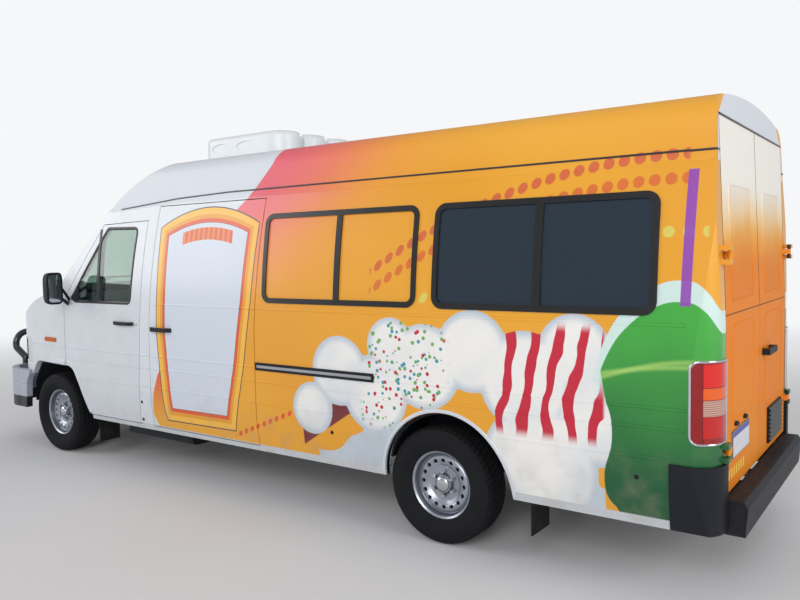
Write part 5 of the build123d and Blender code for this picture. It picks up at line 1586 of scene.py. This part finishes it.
class Headlamps(Fitting):
    """Bezels, reflector rings, bulbs and fluting of both headlamps."""

    def build(self) -> None:
        """Make each for the left lamp and its mirror image for the right."""
        rows = [self.strip(np.stack([np.full(24, y), np.linspace(0.800, 0.972, 24)], -1), 0.0050, 0.0022)
                for y in np.arange(0.712, 0.900, 0.0145)]
        ring = even(REFLECTOR + oval(0.080, 0.080, 1, 60), 0.01, closed=True)
        rim = box_loop((0.524, 0.786), (0.908, 0.990), 0.018)
        for name, shape, finish in (("headlamp_bezel", self.strip(rim, 0.012, 0.007, True), "black"),
                                    ("reflector_ring", self.strip(ring, 0.009, 0.006, True), "chrome"),
                                    ("headlamp_bulb", self.bulb(), "chrome"),
                                    ("headlamp_fluting", together(*rows), "lens")):
            self.shop.pair(name, shape, "lamp_lens", finish)

    def strip(self, line: np.ndarray, width: float, height: float, closed: bool = False) -> Shape:
        """A domed strip along a line in y and z on the lamp's face."""
        path = np.column_stack([lamp_front(line[:, 0], line[:, 1]), line])
        return carried(lip_profile(width, height, 0.003, 7), path, (0.94, 0.34, 0.0), closed)

    def bulb(self) -> Shape:
        """Rings in the reflector, r = 0.070 s: a cap of height 0.011 sqrt(1 - (s / 0.42)^2) inside a low ridge."""
        share = np.linspace(1, 0.001, 16)
        cap = 0.011 * np.clip(1 - (share / 0.42) ** 2, 0, 1) ** 0.5
        ridge = 0.003 * np.exp(-((share - 0.72) / 0.04) ** 2)
        return moulding(REFLECTOR + oval(0.070, 0.070, 1, 60), share, 0.001 + cap + ridge,
                        lambda u, v, h: (lamp_front(u, v) + h, u, v))


@dataclass
class InnerTrim(Fitting):
    """Lining panels of the doors with armrests and pulls, and the ribbed cover over the engine."""

    share: tuple[float, ...] = (1.0, 1.0, 0.985, 0.955, 0.94, 0.925, 0.90, 0.6, 0.3, 0.001)
    rise: tuple[float, ...] = (-0.002, 0.005, 0.008, 0.008, 0.004, 0.007, 0.007, 0.007, 0.007, 0.007)

    def build(self) -> None:
        """Make the linings and the cover."""
        self.front_doors()
        self.rear_doors()
        self.engine_cover()

    def front_doors(self) -> None:
        """A lining 10 mm thick with a groove inside its edge, an armrest and a window winder."""
        loop = rounded_loop([(1.120, 0.600), (1.800, 0.730), (1.985, 0.960), (1.985, 1.270), (1.120, 1.270)],
                            0.050, 0.014)
        lining = moulding(loop, self.share, (-0.002, *(rise + 0.002 for rise in self.rise[1:])),
                          lambda u, v, h: (u, 0.9215 - h, v))
        s, swell = bow()
        rest = carried(oval(0.016, 0.026, 0.7, 24),
                       np.stack([1.520 + 0.240 * s, 0.915 - 0.030 * swell, 0.985 + 0.012 * s], -1), (0, -1, 0))
        knob = turned([(0.030, 0.000), (0.028, 0.012), (0.012, 0.016), (0.0001, 0.017)], 28)
        knob = (knob[0] * (1, -1, 1) + (1.640, 0.912, 0.860), knob[1])
        self.shop.pair("door_lining", lining, "black_plastic", "trim", "{side}_front_door", 30)
        self.shop.pair("door_armrest", together(rest, knob), "black_plastic", "black", "{side}_front_door")

    def rear_doors(self) -> None:
        """Two linings on each rear door, the upper one leaning forward with the door, and a pull."""
        inner_x = -3.2185
        linings = [moulding(box_loop((0.090, low), (0.700, high), 0.045, 0.014), self.share, self.rise,
                            lambda u, v, h: (inner_x + rear_lean(v) + h, u, v))
                   for low, high in ((0.640, 1.280), (1.440, 2.180))]
        s, swell = bow(24)
        path = np.stack([inner_x + 0.008 + 0.024 * swell, np.full(24, 0.140), 1.000 + 0.080 * s], -1)
        self.shop.pair("rear_lining", together(*linings), "black_plastic", "unit", "{side}_rear_door", 30)
        self.shop.pair("rear_pull", carried(oval(0.008, 0.008), path, (1, 0, 0)), "black_plastic", "black",
                       "{side}_rear_door")

    def engine_cover(self) -> None:
        """A crowned cover, z = 1.061 + 0.040 (1 - u^6)(1 - v^6), with ribs along it, and a turned filler cap."""
        u, v = np.linspace(-1, 1, 61)[:, None], np.linspace(-1, 1, 97)[None]
        fade = np.clip((0.80 - np.abs(u)) * 12, 0, 1) * np.clip((0.86 - np.abs(v)) * 12, 0, 1)
        z = 1.061 + 0.040 * (1 - u ** 6) * (1 - v ** 6) + 0.005 * np.clip(np.sin(v * 26) * 3, -1, 1) * fade
        cover = grid(np.stack([2.547 + 0.285 * u + 0 * v, 0.235 * v + 0 * u, z], -1))
        self.shop.make("engine_cover", cover, "black_plastic", "black", sharp=50)
        cap = turned([(0.028, 0.0), (0.028, 0.022), (0.024, 0.026), (0.0001, 0.026)], 24, "z", (2.72, 0.0, 1.098))
        self.shop.make("engine_filler_cap", cap, "black_plastic", "trim")


@dataclass(frozen=True)
class Studio:
    """Pale floor, soft light and the camera."""

    camera_place: tuple[float, float, float] = (-4.1114, 4.5983, 1.7164)
    turn: tuple[float, float, float] = (-54.248, -3.588, -1.040)
    focal_pixels: float = 763.8
    frame_pixels: int = 800
    lamps: tuple = (("key", (-5.0, 10.0, 5.0), 5.0, 470.0), ("rear", (-11.0, 1.5, 4.0), 4.0, 260.0),
                    ("fill", (8.5, 6.5, 4.5), 5.0, 250.0), ("far", (2.0, -10.0, 4.5), 5.0, 260.0))

    def build(self) -> None:
        """Make floor, world, lamps and camera."""
        self.floor()
        self.world()
        for name, place, size, watts in self.lamps:
            light = bpy.data.lights.new(name, "AREA")
            light.size, light.energy = size, watts
            aim = np.array([0, 0, 1.1]) - np.array(place)
            self.hang(name, light, place, aim, np.cross(np.cross(aim, (0, 0, 1)), aim))
        self.camera()

    def floor(self) -> None:
        """A wide pale plate that glows white towards its rim, so that its edge can't be seen."""
        shade = Shade("studio_floor")
        length = shade.node("ShaderNodeVectorMath", {"operation": "LENGTH"})
        shade.feed(length.inputs[0], shade.place)
        far = Term(shade, length.outputs["Value"]).ramp(3.5, 15.0)
        shade.colour = shade.blend(shade.noise(0.6, 3.0), srgb(222, 222, 224), srgb(230, 230, 232))
        shade.lay(far, (0.0, 0.0, 0.0))
        t = np.linspace(0, 1, 24)
        made = mesh_object("studio_floor", turned(np.stack([30 * t + 1e-4, -0.002 + 0 * t], -1), 64, "z"))
        made.data.materials.append(shade.finish(0.9, Specular_IOR_Level=0.0, Emission_Color=BACKDROP,
                                                Emission_Strength=far * 0.95))

    def world(self) -> None:
        """Even light, and plain white where the camera, gloss or glass sees past the floor."""
        world = bpy.data.worlds.new("studio")
        bpy.context.scene.world = world
        world.use_nodes = True
        tree = world.node_tree
        tree.nodes.clear()
        output, background, path = (tree.nodes.new(f"ShaderNode{kind}")
                                    for kind in ("OutputWorld", "Background", "LightPath"))
        total: Socket | None = None
        for name, weight in (("Is Camera Ray", 0.55), ("Is Glossy Ray", 0.15), ("Is Transmission Ray", 0.55)):
            step = tree.nodes.new("ShaderNodeMath")
            step.operation = "MULTIPLY_ADD"
            step.inputs[1].default_value, step.inputs[2].default_value = weight, 0.40
            tree.links.new(path.outputs[name], step.inputs[0])
            if total is not None:
                tree.links.new(total, step.inputs[2])
            total = step.outputs[0]
        tree.links.new(total, background.inputs["Strength"])
        background.inputs["Color"].default_value = (*BACKDROP, 1.0)
        tree.links.new(background.outputs[0], output.inputs["Surface"])

    def hang(self, name: str, data: bpy.types.ID, place: Sequence[float], forward: np.ndarray,
             up: np.ndarray) -> Object:
        """An object at a place that looks along its own -z with +y up."""
        forward, up = forward / np.linalg.norm(forward), up / np.linalg.norm(up)
        columns = np.stack([np.cross(forward, up), up, -forward, np.asarray(place, float)], 1)
        made = bpy.data.objects.new(name, data)
        made.matrix_world = Matrix(np.vstack([columns, [0, 0, 0, 1]]).tolist())
        bpy.context.scene.collection.objects.link(made)
        return made

    def camera(self) -> None:
        """The camera from yaw, pitch and roll, with its focal length in pixels of the frame's width."""
        yaw, pitch, roll = np.radians(self.turn)
        forward = np.array([math.cos(pitch) * math.cos(yaw), math.cos(pitch) * math.sin(yaw), math.sin(pitch)])
        right = np.array([math.sin(yaw), -math.cos(yaw), 0.0])
        up = math.cos(roll) * np.cross(right, forward) - math.sin(roll) * right
        data = bpy.data.cameras.new("camera")
        data.sensor_width, data.clip_end = 36.0, 200.0
        data.lens = self.focal_pixels * data.sensor_width / self.frame_pixels
        bpy.context.scene.camera = self.hang("camera", data, self.camera_place, forward, up)


def main() -> None:
    """Load the frame, dress it, add each sub-assembly and set the studio."""
    logging.basicConfig(level=logging.INFO, format="%(name)s: %(message)s")
    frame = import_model()
    bpy.context.scene.view_settings.view_transform = "Standard"
    shop = dress(frame["nodes"])
    wheels = [RoadWheel(shop, end, side) for end in ("front", "rear") for side in ("left", "right")]
    groups = [group(shop) for group in (DoorGaskets, RearEnd, SideFittings, Screen, CabSeats, CabAndGalley, Headlamps,
                                        InnerTrim)]
    for part in [Pressings(shop), *wheels, *groups, Studio()]:
        part.build()


if __name__ == "__main__":
    main()
